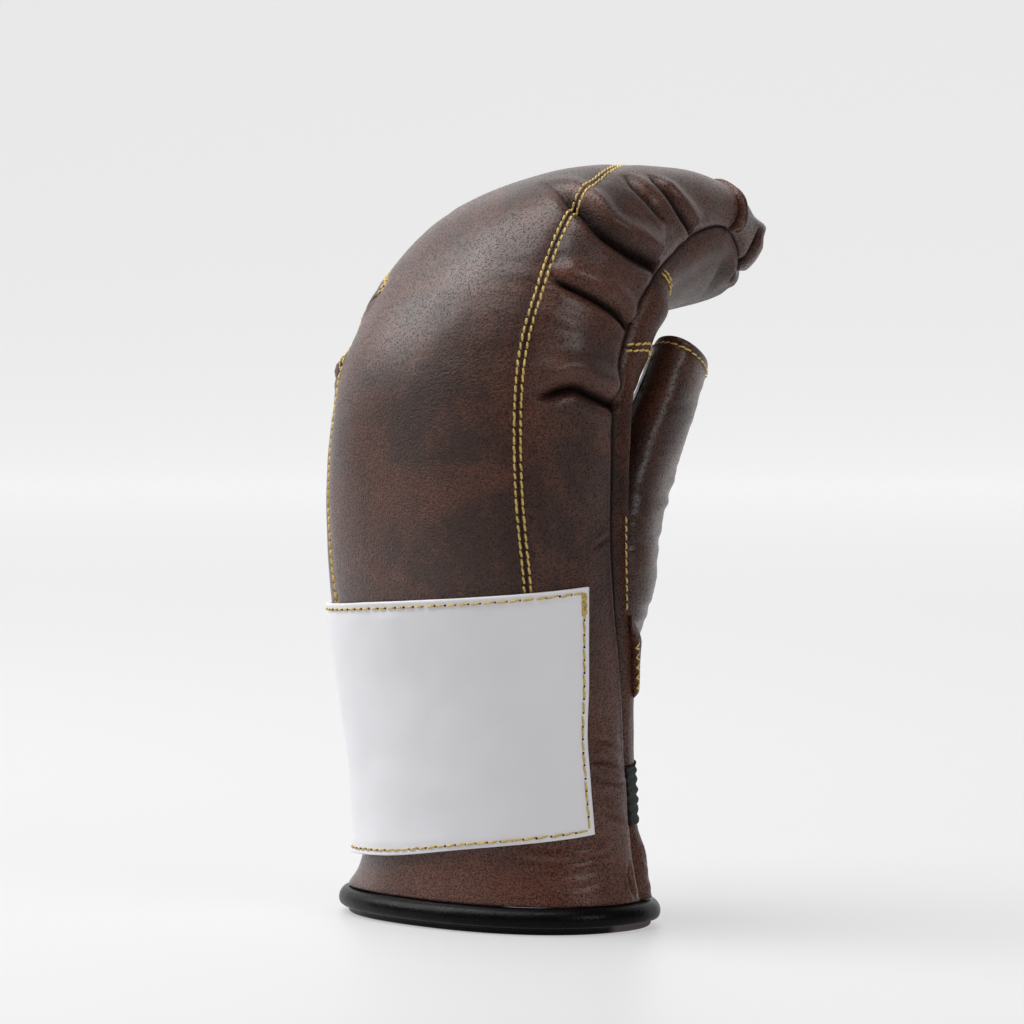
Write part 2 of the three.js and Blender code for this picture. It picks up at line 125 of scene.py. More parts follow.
# The thumb sheath from its foot to its rim: x, y and z of its middle in millimetres, half its breadth
# and half its depth.
THUMB = np.array(
    [
        (39.0, 6.0, 75.7, 11.9, 5.3),
        (39.0, 11.4, 89.7, 15.0, 7.2),
        (38.6, 16.4, 101.7, 17.7, 9.4),
        (38.0, 18.6, 115.7, 19.8, 11.2),
        (37.0, 22.8, 134.8, 20.4, 11.2),
        (36.3, 32.4, 154.7, 19.0, 10.9),
        (36.4, 46.4, 181.7, 17.0, 9.4),
    ]
)
THUMB_TURN = 47.0
THUMB_WALL = 2.0
# How far below the rim its stitches run, in rows of the table above
RIM_ROW = 0.1
# The size of the palm's hole for the thumb, as a share of the sheath's inside
HOLE_SHARE = 0.6

# Folds of the leather, each with its measures and its path. In the order of FOLD_MEASURES these are, in
# millimetres, how deep and wide the fold is, how far the leather above and below it stands proud, over
# what breadth, and how far the upper side leans over it, then the shares of the path over which its two
# ends die out. The path is a list of (t, angle) along the bottom of the fold.
FOLD_MEASURES = ("deep", "wide", "above", "below", "spread", "lean", "fade")
FOLDS = [
    ((4.2, 2.1, 2.8, 0.5, 6.0, 1.4, (0.4, 0.05)),
     [(5.76, 57), (5.8, 65), (5.87, 71), (5.91, 77), (5.86, 84), (5.79, 96)]),
    ((3.2, 1.6, 1.8, 0.7, 5.0, 0.8, (0.25, 0.05)),
     [(7.26, 56.5), (7.18, 63.5), (7.15, 71.5), (7.13, 79), (7.1, 88), (7.0, 95)]),
    ((4.6, 2.7, 3.1, 0.6, 5.5, 1.0, (0.33, 0.04)),
     [(8.54, 24), (8.4, 43), (8.26, 53), (8.19, 59), (8.03, 70), (8.05, 80), (8.16, 88), (8.36, 97)]),
    ((1.8, 2.0, 0.9, 0.6, 4.0, 0.5, (0.35, 0.3)),
     [(9.1, 57), (9.0, 66), (8.95, 74), (8.96, 81), (9.09, 90)]),
    ((3.4, 1.6, 1.8, 0.7, 4.0, 0.7, (0.35, 0.04)),
     [(9.4, 63), (9.36, 71), (9.37, 77), (9.43, 84), (9.54, 90), (9.7, 97)]),
    ((1.6, 0.6, 1.6, 0.3, 1.5, 0.2, (0.2, 0.05)),
     [(10.8, 60), (10.9, 70), (11.0, 79), (11.07, 86), (11.1, 92), (10.98, 100)]),
    ((1.6, 0.6, 0.2, 1.6, 1.5, 0.2, (0.2, 0.05)),
     [(10.96, 60), (11.07, 70), (11.18, 79), (11.26, 86), (11.3, 92), (11.18, 100)]),
    ((2.9, 1.5, 0.2, 0.2, 2.0, 0.0, (0.35, 0.2)),
     [(11.84, 88), (11.86, 93), (11.77, 103), (11.73, 114), (11.76, 127)]),
]
# Creases that only one side has
ODD_FOLDS = [
    ((2.4, 1.1, 0.8, 0.8, 3.0, 0.5, (0.3, 0.4)),
     [(7.34, -35), (7.26, -41), (7.19, -49), (7.12, -58)]),
    ((1.8, 0.9, 1.2, 0.2, 2.6, 0.8, (0.25, 0.4)),
     [(6.42, -44), (6.38, -52), (6.3, -62)]),
    ((0.7, 0.5, 0.3, 0.2, 1.5, 0.0, (0.4, 0.3)),
     [(4.38, 85), (4.45, 89.5), (4.51, 94)]),
]
# Small crumples of the cuff beside and below the label: a depth and a path
CRUMPLES = [
    (0.7, [(2.42, 82), (2.38, 88), (2.28, 94)]),
    (0.9, [(2.2, 80), (2.17, 87), (2.07, 95)]),
    (0.7, [(1.98, 83), (1.92, 90), (1.86, 97)]),
    (0.6, [(1.62, 85), (1.52, 91), (1.4, 98)]),
    (0.55, [(1.12, 92), (1.0, 84), (0.92, 74), (0.93, 62), (1.0, 50)]),
    (0.4, [(0.7, 90), (0.54, 80), (0.5, 70), (0.66, 58)]),
    (0.7, [(0.9, 98), (0.5, 97), (0.12, 99)]),
]
ODD_FOLDS += [((deep, 0.8, deep, 0.4 * deep, 1.9, 0.2, (0.4, 0.3)), path) for deep, path in CRUMPLES]

# Where fine wrinkles gather on both sides: t, angle, reach along and round, and their strength
WRINKLED = [
    (6.6, 62, 0.9, 26, 1.0),
    (8.6, 75, 0.5, 22, 0.9),
    (2.15, 88, 0.4, 13, 1.0),
]
# Places where the leather swells or is drawn in: t, angle, reach along in sections, reach round in
# degrees, and the height in millimetres.
BULGES = [
    (7.85, 117, 0.5, 15, 4.0),
    (7.85, -117, 0.5, 15, 4.0),
    (6.45, 110, 0.3, 9, -1.5),
    (6.4, 78, 0.36, 14, 0.8),
    (6.4, -78, 0.36, 14, 0.8),
    (6.42, -53, 0.22, 10, 1.3),
    (7.62, 78, 0.28, 15, 1.2),
    (7.62, -60, 0.28, 20, 1.2),
    (8.62, 76, 0.25, 14, 1.0),
    (8.62, -76, 0.25, 14, 1.0),
    (10.2, 74, 0.5, 18, 1.0),
    (10.2, -74, 0.5, 18, 1.0),
    (11.62, 82, 0.22, 16, -1.2),
    (11.2, 120, 0.3, 14, -2.0),
    (11.9, 124, 0.3, 15, -1.5),
    (12.0, 88, 0.25, 10, -1.2),
    (0.95, -58, 0.75, 26, -2.0),
    (2.4, 108, 0.7, 9, -1.7),
    (0.0, -62, 0.3, 26, 1.5),
]


def ease(x):
    x = np.clip(x, 0.0, 1.0)
    return x * x * (3 - 2 * x)


def bell(x):
    return np.exp(-x * x)


def spread_over(t, angle):
    return np.broadcast_arrays(np.asarray(t, float), np.asarray(angle, float))


def column(table, k, t):
    """Column k of a table at fractional row numbers, on a smooth curve through its rows."""
    table = np.asarray(table, float)
    t = np.asarray(t, float)
    end = len(table) - 1
    i = np.clip(np.floor(t).astype(int), 0, end - 1)
    f = t - i
    before, here, after, next_but_one = (table[np.clip(i + n, 0, end), k] for n in (-1, 0, 1, 2))
    slope_here, slope_next = (after - before) / 2, (next_but_one - here) / 2
    turn = f * f * (3 - 2 * f)
    bends = f * (1 - f) ** 2 * slope_here - f * f * (1 - f) * slope_next
    return (1 - turn) * here + turn * after + bends


def seam_angle(t):
    return column(WALLS, 3, t)


def little_seam(t):
    return column(WALLS, 4, t) - 10 * bell((t - 7.42) / 0.2) + 2.5 * bell((t - 6.92) / 0.25)


def edge_angle(t):
    return column(WALLS, 5, t) - 3 * bell((t - 11.45) / 0.35)


def thumb_valley(t, angle):
    """How far the palm leather is drawn in beside the thumb."""
    round_it = ease((angle - 101.2) / 3.2) * ease((142 - angle) / 25)
    return 6.0 * round_it * ease((t - 3.3) / 0.6) * ease((6.5 - t) / 0.9)


def spine(t):
    return HOOK_REACH * column(SECTIONS, 1, t), CUFF_TOP + SPINE_RISE * column(SECTIONS, 0, t)


def spine_tilt(t):
    y_on, z_on = spine(np.minimum(LAST, t + 0.05))
    y_back, z_back = spine(np.maximum(0, t - 0.05))
    return np.arctan2(y_on - y_back, z_on - z_back) * ease(t - 1)


# The middle line of the hand's foot, from where the binding's back lies in the frame
FOOT_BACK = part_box("cuff_binding")[0][1] * 1000
ORIGIN_Y = FOOT_BACK + BACK_DEPTH * SECTIONS[0, 3] + BINDING_REACH


def body_point(t, angle, inset=(0.0, 0.0, 0.0)):
    """Points of the plain form. inset is how far inside it they lie at the side, the back and the palm."""
    t, angle = spread_over(t, angle)
    turn = np.radians(angle)
    is_back = np.cos(turn) > 0
    wide = HALF_WIDTH * column(SECTIONS, 2, t) - inset[0]
    back = BACK_DEPTH * column(SECTIONS, 3, t) - inset[1]
    palm = PALM_DEPTH * column(SECTIONS, 4, t) - inset[2]
    deep = np.where(is_back, back, palm)
    power = np.where(is_back, BACK_SQUARENESS, column(SECTIONS, 5, t))
    across = (np.abs(np.sin(turn)) / wide) ** power
    through = (np.abs(np.cos(turn)) / deep) ** power
    radius = (across + through) ** (-1 / power)
    x, out = radius * np.sin(turn), radius * np.cos(turn)
    crown = TIP_CROWN * ease((t - LAST) / 3.2 + 1) * (1 - (x / HALF_WIDTH / 0.72) ** 2)
    tilt = spine_tilt(t)
    y, z = spine(t)
    y = y - np.cos(tilt) * out + np.sin(tilt) * crown
    z = z + np.sin(tilt) * out + np.cos(tilt) * crown
    z = z + KNUCKLE_SLOPE * x * ease((z / SPINE_RISE - 0.55) / 0.33)
    return np.stack([x, y + ORIGIN_Y, z], -1)


def unit(v):
    return v / np.maximum(np.linalg.norm(v, axis=-1, keepdims=True), 1e-9)


def length_along(line):
    """The length of a line up to each of its points."""
    return np.concatenate([[0], np.cumsum(np.linalg.norm(np.diff(line, axis=0), axis=1))])


def form_frame(t, angle):
    """The plain form's points, outward normals and millimetres for each degree round it."""
    step_t, step_a = 0.02, 0.4
    low, high = np.maximum(t - step_t, 0), np.minimum(t + step_t, LAST)
    along = body_point(high, angle) - body_point(low, angle)
    around = body_point(t, angle + step_a) - body_point(t, angle - step_a)
    normal = unit(np.cross(around, along))
    return body_point(t, angle), normal, np.linalg.norm(around, axis=-1) / (2 * step_a)


def soft_noise(points, size, seed):
    """Smooth noise between -1 and 1 that changes over about size millimetres."""
    lattice = np.random.default_rng(seed).uniform(-1, 1, (31, 31, 31))
    place = points / size + 200.0
    corner = np.floor(place).astype(int)
    part = ease(place - corner)
    total = np.zeros(points.shape[:-1])
    for step in np.ndindex(2, 2, 2):
        share = np.prod(np.where(step, part, 1 - part), axis=-1)
        x, y, z = np.moveaxis((corner + step) % 31, -1, 0)
        total += share * lattice[x, y, z]
    return total


def along_path(path, count):
    """(t, angle) pairs on a smooth curve through the points of a path."""
    place = np.linspace(0, len(path) - 1, count)
    return column(path, 0, place), column(path, 1, place)


def fold_field(points, fold):
    """What a fold does to points of the plain form: rise, sideways shift, and crease and ridge masks."""
    t, angle = along_path(fold["path"], 220)
    line, normal, _ = form_frame(t, angle)
    tangent = unit(np.gradient(line, axis=0))
    side = unit(np.cross(normal, tangent))
    flat = points.reshape(-1, 3)
    rise, crease, ridge = (np.zeros(len(flat)) for _ in range(3))
    shift = np.zeros((len(flat), 3))
    reach = 3 * fold["spread"] + 3
    near = np.all((flat > line.min(0) - reach) & (flat < line.max(0) + reach), axis=1)
    where = np.flatnonzero(near)
    p = flat[where]
    gaps = (p**2).sum(1)[:, None] + (line**2).sum(1)[None] - 2 * p @ line.T
    nearest = gaps.argmin(1)
    offset = p - line[nearest]
    across = (offset * side[nearest]).sum(1)
    past = np.abs((offset * tangent[nearest]).sum(1)) * ((nearest == 0) | (nearest == len(line) - 1))
    share = nearest / (len(line) - 1)
    start, end = fold["fade"]
    fade = ease(share / start) * ease((1 - share) / end) * bell(past / 2)
    upwards = body_point(t.mean() + 0.1, angle.mean()) - body_point(t.mean(), angle.mean())
    if side[len(side) // 2] @ upwards < 0:
        across, side = -across, -side
    away = np.abs(across) / fold["wide"]
    valley = np.exp(-(away**1.4))
    upper = bell((across - 0.9 * fold["spread"]) / (0.75 * fold["spread"]))
    lower = bell((across + 0.8 * fold["spread"]) / (0.6 * fold["spread"]))
    rise[where] = fade * (fold["above"] * upper + fold["below"] * lower - fold["deep"] * valley)
    lean = fade * fold["lean"] * bell((across - 1.2) / 2.2)
    shift[where] = -side[nearest] * lean[:, None]
    # The crease mask also spreads below the fold, under its overhanging upper side; the leather darkens it there
    # as painted shade.
    shade = bell((across + 0.25 * fold["wide"]) / (1.25 * fold["wide"]))
    crease[where] = fade * np.maximum(valley, 0.75 * shade) * min(1, fold["deep"] / 2.5)
    # The ridge mask marks the crest above each fold, which the leather paints lighter, partly as wear and partly
    # as a painted highlight.
    ridge[where] = fade * bell((across - 0.6 * fold["spread"]) / (0.5 * fold["spread"]))
    return [v.reshape(points.shape[:-1] + v.shape[1:]) for v in (rise, shift, crease, ridge)]


def mirrored(path):
    return [(t, -angle) for t, angle in path]


BOTH_SIDES = FOLDS + [(measures, mirrored(path)) for measures, path in FOLDS] + ODD_FOLDS
ALL_FOLDS = [{"path": path, **dict(zip(FOLD_MEASURES, measures))} for measures, path in BOTH_SIDES]


def skin(t, angle):
    """The outer face of the leather, its normals, and masks: where it is creased, ridged, grooved,
    wrinkled and polished."""
    t, angle = spread_over(t, angle)
    plain, normal, per_degree = form_frame(t, angle)
    turned = (angle + 180) % 360 - 180
    around = np.abs(turned)
    form = bpy.context.scene.glove_form
    along = spine_length(t)
    spread_out = np.stack([np.radians(angle) * 9, along, 0 * t], -1)
    wrinkle = sum(share * bell((t - at) / reach) * bell((around - place) / spread)
                  for at, place, reach, spread, share in WRINKLED)
    wrinkle = np.clip(wrinkle, 0, 1)
    rise = 0.35 * soft_noise(plain, 26, 3) + 0.12 * soft_noise(plain, 9, 4) - thumb_valley(t, turned % 360)
    rise += wrinkle * (0.42 * soft_noise(spread_out, 3.2, 5) + 0.16 * soft_noise(spread_out, 1.4, 6))
    for at, place, reach, spread, height in BULGES:
        off = (angle - place + 180) % 360 - 180
        rise += height * bell((t - at) / reach) * bell(off / spread)
    # The groove mask marks the needle lines, the seam line and the palm edge; the leather darkens these grooves
    # as painted shade.
    groove = np.zeros(t.shape)
    seam = np.where(turned < 0, little_seam(t), seam_angle(t))
    from_seam = (around - seam) * per_degree
    from_edge = (around - edge_angle(t)) * per_degree
    sewn_in = ease((t - 1.5) / 0.6)
    rise -= 0.6 * bell(from_seam / 3.4) * sewn_in
    for row in (-1, 1):
        off = (from_seam - row * form.stitch_rows * 500) / 0.36
        rise -= 0.22 * bell(off) * sewn_in
        groove = np.maximum(groove, bell(off) * sewn_in)
    rise -= 0.35 * bell(from_seam / 0.3) * sewn_in
    groove = np.maximum(0.6 * groove, 0.3 * bell(from_seam / 0.3) * sewn_in)
    rise -= 1.1 * bell(from_edge / 2.2) + 0.9 * np.exp(-np.abs(from_edge) / 0.5)
    rise += 0.5 * bell((from_edge + 2.4) / 0.9) * bell((t - 3.5) / 1.8)
    groove = np.maximum(groove, np.exp(-np.abs(from_edge) / 0.7))
    crest = (around - edge_angle(t) - 9) / 6
    rise += np.where(around > edge_angle(t), 1.1 * ease(t - 1.5) * bell(crest), 0)
    shift = np.zeros(plain.shape)
    crease, ridge = np.zeros(t.shape), np.zeros(t.shape)
    for fold in ALL_FOLDS:
        up, sideways, dark, light = fold_field(plain, fold)
        rise += up * form.fold_depth
        shift += sideways * form.fold_depth
        crease, ridge = np.maximum(crease, dark), np.maximum(ridge, light)
    polish = 1 - 0.85 * ease((around - edge_angle(t)) / 4)
    points = plain + normal * rise[..., None] + shift
    masks = {"crease": crease, "ridge": ridge, "groove": groove, "wrinkle": wrinkle, "polish": polish}
    return points, normal, masks


def under_wall(t):
    grip = np.sin(np.pi * np.clip((t - GRIP_START) / (GRIP_END - GRIP_START), 0, 1))
    finger = np.where(t > GRIP_END, np.maximum(0, column(WALLS, 2, t)), 0)
    return LEATHER + (GRIP - LEATHER) * grip + FINGER_PAD * finger


def inner_point(t, angle):
    inset = (SIDE * column(WALLS, 1, t), PAD * column(WALLS, 0, t), under_wall(t))
    drawn_in = thumb_valley(t, angle % 360)
    return body_point(t, angle, inset) - form_frame(t, angle)[1] * drawn_in[..., None]


def section_at(height):
    """The section number at a height above the binding, on the straight lower part."""
    t = np.linspace(0, 5, 2001)
    return np.interp(height, spine(t)[1] - CUFF_TOP, t)


JOINT = float(section_at(WRIST_JOINT))
# How far the panels of the hand reach over the cuff, in sections
LAP = 0.03
PALM_FOOT = float(section_at(PALM_START))


def rows_between(start, end, count, dense_at=(), gain=3.0):
    """count + 1 section numbers, evenly spaced along the leather but closer near the given ones."""
    t = np.linspace(start, end, 3000)
    length = np.linalg.norm(np.gradient(body_point(t, np.full(t.shape, 75.0)), axis=0), axis=1)
    weight = length * (1 + gain * sum((bell((t - at) / 0.16) for at in dense_at), np.zeros(t.shape)))
    total = np.concatenate([[0], np.cumsum((weight[1:] + weight[:-1]) / 2)])
    return np.interp(np.linspace(0, total[-1], count + 1), total, t)


def shares(count, crowding):
    """count + 1 shares from 0 to 1, closer together at both ends."""
    u = np.linspace(0, 1, count + 1)
    return u - crowding * np.sin(2 * np.pi * u) / (2 * np.pi)


def spine_length(t):
    """The length of the leather in millimetres from the cuff's edge to a section."""
    fine = np.linspace(0, LAST, 1201)
    return np.interp(t, fine, length_along(np.stack(spine(fine), -1)))


# The inner face of a piece has one row and one column for each so many of its outer face
COARSE = 4
COARSE_GRID = (slice(None, None, COARSE), slice(None, None, COARSE))
# The radius in metres by which an angle becomes a length on the leather's own map
MAP_RADIUS = 0.052


def leather_map(t, angle, radius=MAP_RADIUS):
    """The place on the leather in metres: round the hand and along it."""
    return np.stack([np.radians(angle) * radius, spine_length(t) * 0.001], -1)


def add_object(name, data):
    made = bpy.data.objects.new(name, data)
    bpy.context.collection.objects.link(made)
    return made


def add_piece(name, points, faces, masks=None, uv=None, flat_from=None, lining_from=None):
    """A mesh object from points in millimetres. Faces from flat_from on are flat, and from lining_from on
    they take the second material."""
    mesh = bpy.data.meshes.new(name)
    mesh.from_pydata((np.asarray(points) * 0.001).tolist(), [], faces)
    smooth = np.ones(len(faces), bool)
    if flat_from is not None:
        smooth[flat_from[0]:flat_from[1]] = False
    mesh.polygons.foreach_set("use_smooth", smooth)
    if lining_from is not None:
        finish = np.zeros(len(faces), np.int32)
        finish[lining_from:] = 1
        mesh.polygons.foreach_set("material_index", finish)
    for key, values in (masks or {}).items():
        layer = mesh.attributes.new(key, "FLOAT", "POINT")
        full = np.zeros(len(points), np.float32)
        full[: values.size] = values.ravel()
        layer.data.foreach_set("value", full)
    if uv is not None:
        full = np.zeros((len(points), 2))
        full[: len(uv)] = uv
        corner = np.zeros(len(mesh.loops), np.int32)
        mesh.loops.foreach_get("vertex_index", corner)
        mesh.uv_layers.new(name="leather").data.foreach_set("uv", full[corner].ravel())
    shell = bmesh.new()
    shell.from_mesh(mesh)
    if shell.calc_volume(signed=True) < 0:
        bmesh.ops.reverse_faces(shell, faces=shell.faces)
        shell.to_mesh(mesh)
    shell.free()
    mesh.validate()
    return add_object(name, mesh)


def grid_faces(rows, columns, start=0):
    r, c = np.meshgrid(np.arange(rows - 1), np.arange(columns - 1), indexing="ij")
    a = (start + r * columns + c).ravel()
    return np.stack([a, a + 1, a + columns + 1, a + columns], 1).tolist()


def border(rows, columns, start=0):
    """Vertex numbers round the outside of a grid, in order."""
    top = [start + c for c in range(columns)]
    right = [start + r * columns + columns - 1 for r in range(1, rows)]
    bottom = [start + (rows - 1) * columns + c for c in range(columns - 2, -1, -1)]
    left = [start + r * columns for r in range(rows - 2, 0, -1)]
    return top + right + bottom + left


def ring_faces(bands, count, around):
    """Faces between rings of so many points around, and from the last ring on to the first."""
    return [[r * around + c, r * around + (c + 1) % around, (r + 1) % count * around + (c + 1) % around,
             (r + 1) % count * around + c] for r in range(bands) for c in range(around)]


def slab(name, outer, inner, masks=None, uv=None):
    """A closed piece between a fine outer face and a coarse inner one."""
    rows, columns = outer.shape[:2]
    low_rows, low_columns = inner.shape[:2]
    start = rows * columns
    faces = grid_faces(rows, columns)
    first_wall = len(faces)
    rim, low_rim = border(rows, columns), border(low_rows, low_columns, start)
    for i, low in enumerate(low_rim):
        span = [rim[(i * COARSE + n) % len(rim)] for n in range(COARSE, -1, -1)]
        faces.append([*span, low, low_rim[(i + 1) % len(low_rim)]])
    last_wall = len(faces)
    faces += [face[::-1] for face in grid_faces(low_rows, low_columns, start)]
    points = np.concatenate([outer.reshape(-1, 3), inner.reshape(-1, 3)])
    return add_piece(name, points, faces, masks, uv, (first_wall, last_wall), last_wall)


def curled(points, inner_edge, out, steps, masks, uv):
    """Extra rows that curl the last row of a panel round to its inner face."""
    edge = points[-1]
    middle = (edge + inner_edge) / 2
    radius = np.linalg.norm(edge - inner_edge, axis=-1, keepdims=True) / 2
    turns = np.linspace(0, 0.86 * np.pi, steps + 1)[1:]
    rows = [middle + (edge - middle) * np.cos(a) + out * np.minimum(radius, 3) * np.sin(a) for a in turns]
    points = np.concatenate([points, np.stack(rows)])
    masks = {k: np.concatenate([v, np.repeat(v[-1:], steps, 0)]) for k, v in masks.items()}
    uv = np.concatenate([uv, np.repeat(uv[-1:], steps, 0)])
    return points, masks, uv


def leather_panel(name, rows, across, from_angle, to_angle, curl=False):
    """A panel of the hand part between two seams, as thick as the wall is there."""
    t = rows[:, None]
    start, end = from_angle(t), to_angle(t)
    angle = start + across[None] * (end - start)
    t = np.broadcast_to(t, angle.shape)
    points, _, masks = skin(t, angle)
    uv = leather_map(t, angle)
    inner = inner_point(t[COARSE_GRID], angle[COARSE_GRID])
    if curl:
        edge_in = inner_point(t[-1], angle[-1])
        ahead = unit(body_point(t[-1], angle[-1]) - body_point(t[-1] - 0.1, angle[-1]))
        points, masks, uv = curled(points, edge_in, ahead, COARSE, masks, uv)
        inner = np.concatenate([inner, inner[-1:]])
        inner[-2] = inner_point(t[-1, ::COARSE] - 0.15, angle[-1, ::COARSE])
    return slab(name, points, inner, masks, uv.reshape(-1, 2))


class Wire:
    """A socket of a material, with the arithmetic of its Math nodes."""

    def __init__(self, finish, socket):
        self.finish, self.socket = finish, socket

    def math(self, operation, other=0.0, swapped=False):
        values = [other, self] if swapped else [self, other]
        return self.finish.node("ShaderNodeMath", {"operation": operation}, dict(enumerate(values)))

    def __add__(self, other):
        return self.math("ADD", other)

    def __radd__(self, other):
        return self.math("ADD", other, True)

    def __sub__(self, other):
        return self.math("SUBTRACT", other)

    def __rsub__(self, other):
        return self.math("SUBTRACT", other, True)

    def __mul__(self, other):
        return self.math("MULTIPLY", other)

    def __rmul__(self, other):
        return self.math("MULTIPLY", other, True)

    def __truediv__(self, other):
        return self.math("DIVIDE", other)

    def __rtruediv__(self, other):
        return self.math("DIVIDE", other, True)


def socket_name(key):
    return key.replace("_", " ").title().replace("Ior", "IOR")


class Finish:
    """A material under construction, with one Principled shader."""

    def __init__(self, name, **constants):
        self.material = bpy.data.materials.new(name)
        self.material.use_nodes = True
        self.tree = self.material.node_tree
        self.shader = self.tree.nodes["Principled BSDF"]
        for key, value in constants.items():
            self.shader.inputs[socket_name(key)].default_value = value

    def node(self, kind, settings=None, inputs=None, output=0):
        """Adds a node: its settings first, then the values or links of its sockets."""
        made = self.tree.nodes.new(kind)
        for key, value in (settings or {}).items():
            if key == "stops":
                ramp = made.color_ramp
                while len(ramp.elements) < len(value):
                    ramp.elements.new(0.5)
                for element, (place, color) in zip(ramp.elements, value):
                    element.position, element.color = place, (*color, 1.0)
            else:
                setattr(made, key, value)
        for key, value in (inputs or {}).items():
            if isinstance(value, Wire):
                self.tree.links.new(value.socket, made.inputs[key])
            else:
                made.inputs[key].default_value = value
        return Wire(self, made.outputs[output])

    def feed(self, **wires):
        for key, wire in wires.items():
            self.tree.links.new(wire.socket, self.shader.inputs[socket_name(key)])

    def place(self):
        """Object coordinates in millimetres."""
        here = self.node("ShaderNodeTexCoord", output="Object")
        return self.node("ShaderNodeVectorMath", {"operation": "MULTIPLY"}, {0: here, 1: (1000,) * 3})

    def on_leather(self, stretch):
        """The coordinates that follow the leather, in millimetres round and along the hand, stretched."""
        here = self.node("ShaderNodeUVMap", {"uv_map": "leather"})
        size = (1000 * stretch[0], 1000 * stretch[1], 0)
        return self.node("ShaderNodeVectorMath", {"operation": "MULTIPLY"}, {0: here, 1: size})

    def mask(self, name):
        return self.node("ShaderNodeAttribute", {"attribute_name": name}, output="Fac")

    def noise(self, where, scale, detail=3.0, roughness=0.55, distortion=0.0):
        values = {"Vector": where, "Scale": scale, "Detail": detail, "Roughness": roughness,
                  "Distortion": distortion}
        return self.node("ShaderNodeTexNoise", None, values, "Fac")

    def cells(self, where, scale):
        """How far each place is from the middle of its cell."""
        return self.node("ShaderNodeTexVoronoi", {"feature": "F1"}, {"Vector": where, "Scale": scale}, "Distance")

    def fit(self, wire, low, high, to_low=0.0, to_high=1.0):
        """A value brought from one range to another, and kept inside it."""
        values = {"Value": wire, "From Min": low, "From Max": high, "To Min": to_low, "To Max": to_high}
        return self.node("ShaderNodeMapRange", {"interpolation_type": "SMOOTHSTEP"}, values)

    def ramp(self, wire, stops):
        return self.node("ShaderNodeValToRGB", {"stops": stops}, {"Fac": wire}, "Color")

    def mix(self, share, first, second):
        def colour(value):
            return value if isinstance(value, Wire) else (*value, 1.0)

        settings = {"data_type": "RGBA", "blend_type": "MIX"}
        return self.node("ShaderNodeMix", settings, {0: share, 6: colour(first), 7: colour(second)}, 2)

    def bump(self, height, distance):
        return self.node("ShaderNodeBump", None, {"Height": height, "Distance": distance, "Strength": 1.0})


def leather_finish():
    look = bpy.context.scene.glove_finish
    made = Finish("leather", specular_ior_level=0.2, specular_tint=(1, 0.8, 0.72, 1),
                  coat_roughness=0.36, coat_ior=1.42)
    here = made.place()
    crease, ridge = made.mask("crease"), made.mask("ridge")
    groove, wrinkle = made.mask("groove"), made.mask("wrinkle")
    patches = made.noise(here, 0.03, 3, 0.6, 0.6)
    rubbed = made.noise(here, 0.08, 5, 0.65, 0.3)
    speckle = made.noise(here, 1.7, 3, 0.8)
    pores = made.cells(here, 1.3)
    base = made.mix(made.fit(patches, 0.36, 0.64), look.leather_dark[:], look.leather_color[:])
    base = made.mix(made.fit(rubbed, 0.5, 0.74, 0, 0.55), base, look.leather_wear_and_sheen[:])
    # Lighter towards the bottom of the glove
    height = made.node("ShaderNodeSeparateXYZ", None, {"Vector": here}, "Z")
    base = made.mix(made.fit(height, 20, 145, 0.6, 0), base, look.leather_wear_and_sheen[:])
    base = made.mix(made.fit(speckle, 0.46, 0.56, 0, 0.8), base, look.leather_dark[:])
    base = made.mix(made.fit(pores, 0.1, 0.5, 0.75, 0), base, look.leather_pores_and_shade[:])
    # Lighter fold crests: partly rubbed wear, partly a painted highlight
    base = made.mix(ridge * 0.2, base, look.leather_wear_and_sheen[:])
    # Painted shade: the folds and the band under their overhang are darkened towards the pores-and-shade colour
    base = made.mix(made.fit(crease, 0.1, 0.8, 0, 0.95), base, look.leather_pores_and_shade[:])
    # Painted shade in the grooves of the seams, needle lines and edges
    base = made.mix(groove * 0.8, base, look.leather_pores_and_shade[:])
    pebbles = made.noise(here, 1.0, 2, 0.6, 0.4)
    fine = made.noise(here, 2.4, 3, 0.7)
    lines = made.noise(made.on_leather((0.16, 0.75)), 1.0, 3, 0.6, 0.6)
    relief = made.fit(pores, 0.0, 0.5) * 0.4 + pebbles * 0.9 + fine * 0.35 + lines * wrinkle * 1.2
    made.feed(
        base_color=base,
        roughness=made.fit(speckle, 0.35, 0.65, 0.3, 0.44) + crease * 0.3 + groove * 0.2,
        coat_weight=made.fit(pores, 0.1, 0.5, 0.05, 0.9) * made.mask("polish") * (1 - crease),
        normal=made.bump(relief, 0.0013),
    )
    return made.material


def lining_finish():
    look = bpy.context.scene.glove_finish
    made = Finish("lining", roughness=0.85)
    here = made.place()
    tone = made.noise(here, 0.6, 3)
    dark = tuple(0.6 * c for c in look.leather_dark)
    made.feed(base_color=made.mix(tone, dark, look.leather_dark[:]), normal=made.bump(tone, 0.0003))
    return made.material


def thread_finish():
    look = bpy.context.scene.glove_finish
    made = Finish("thread", roughness=0.45)
    tone = made.noise(made.place(), 1.4, 2)
    darker = tuple(0.6 * c for c in look.thread_color)
    strands = made.noise(made.place(), 4.0, 2)
    made.feed(base_color=made.mix(made.fit(tone, 0.35, 0.65), darker, look.thread_color[:]),
              normal=made.bump(strands, 0.0002))
    return made.material


def label_finish():
    look = bpy.context.scene.glove_finish
    made = Finish("label_vinyl", roughness=0.38, specular_ior_level=0.4)
    here = made.place()
    cloud = made.noise(here, 0.035, 2)
    grain = made.noise(here, 1.2, 3)
    grey = tuple(0.97 * c for c in look.label_color)
    made.feed(
        base_color=made.mix(made.fit(cloud, 0.3, 0.7), look.label_color[:], grey),
        roughness=made.fit(grain, 0.3, 0.7, 0.33, 0.45),
        normal=made.bump(grain, 0.00004),
    )
    return made.material


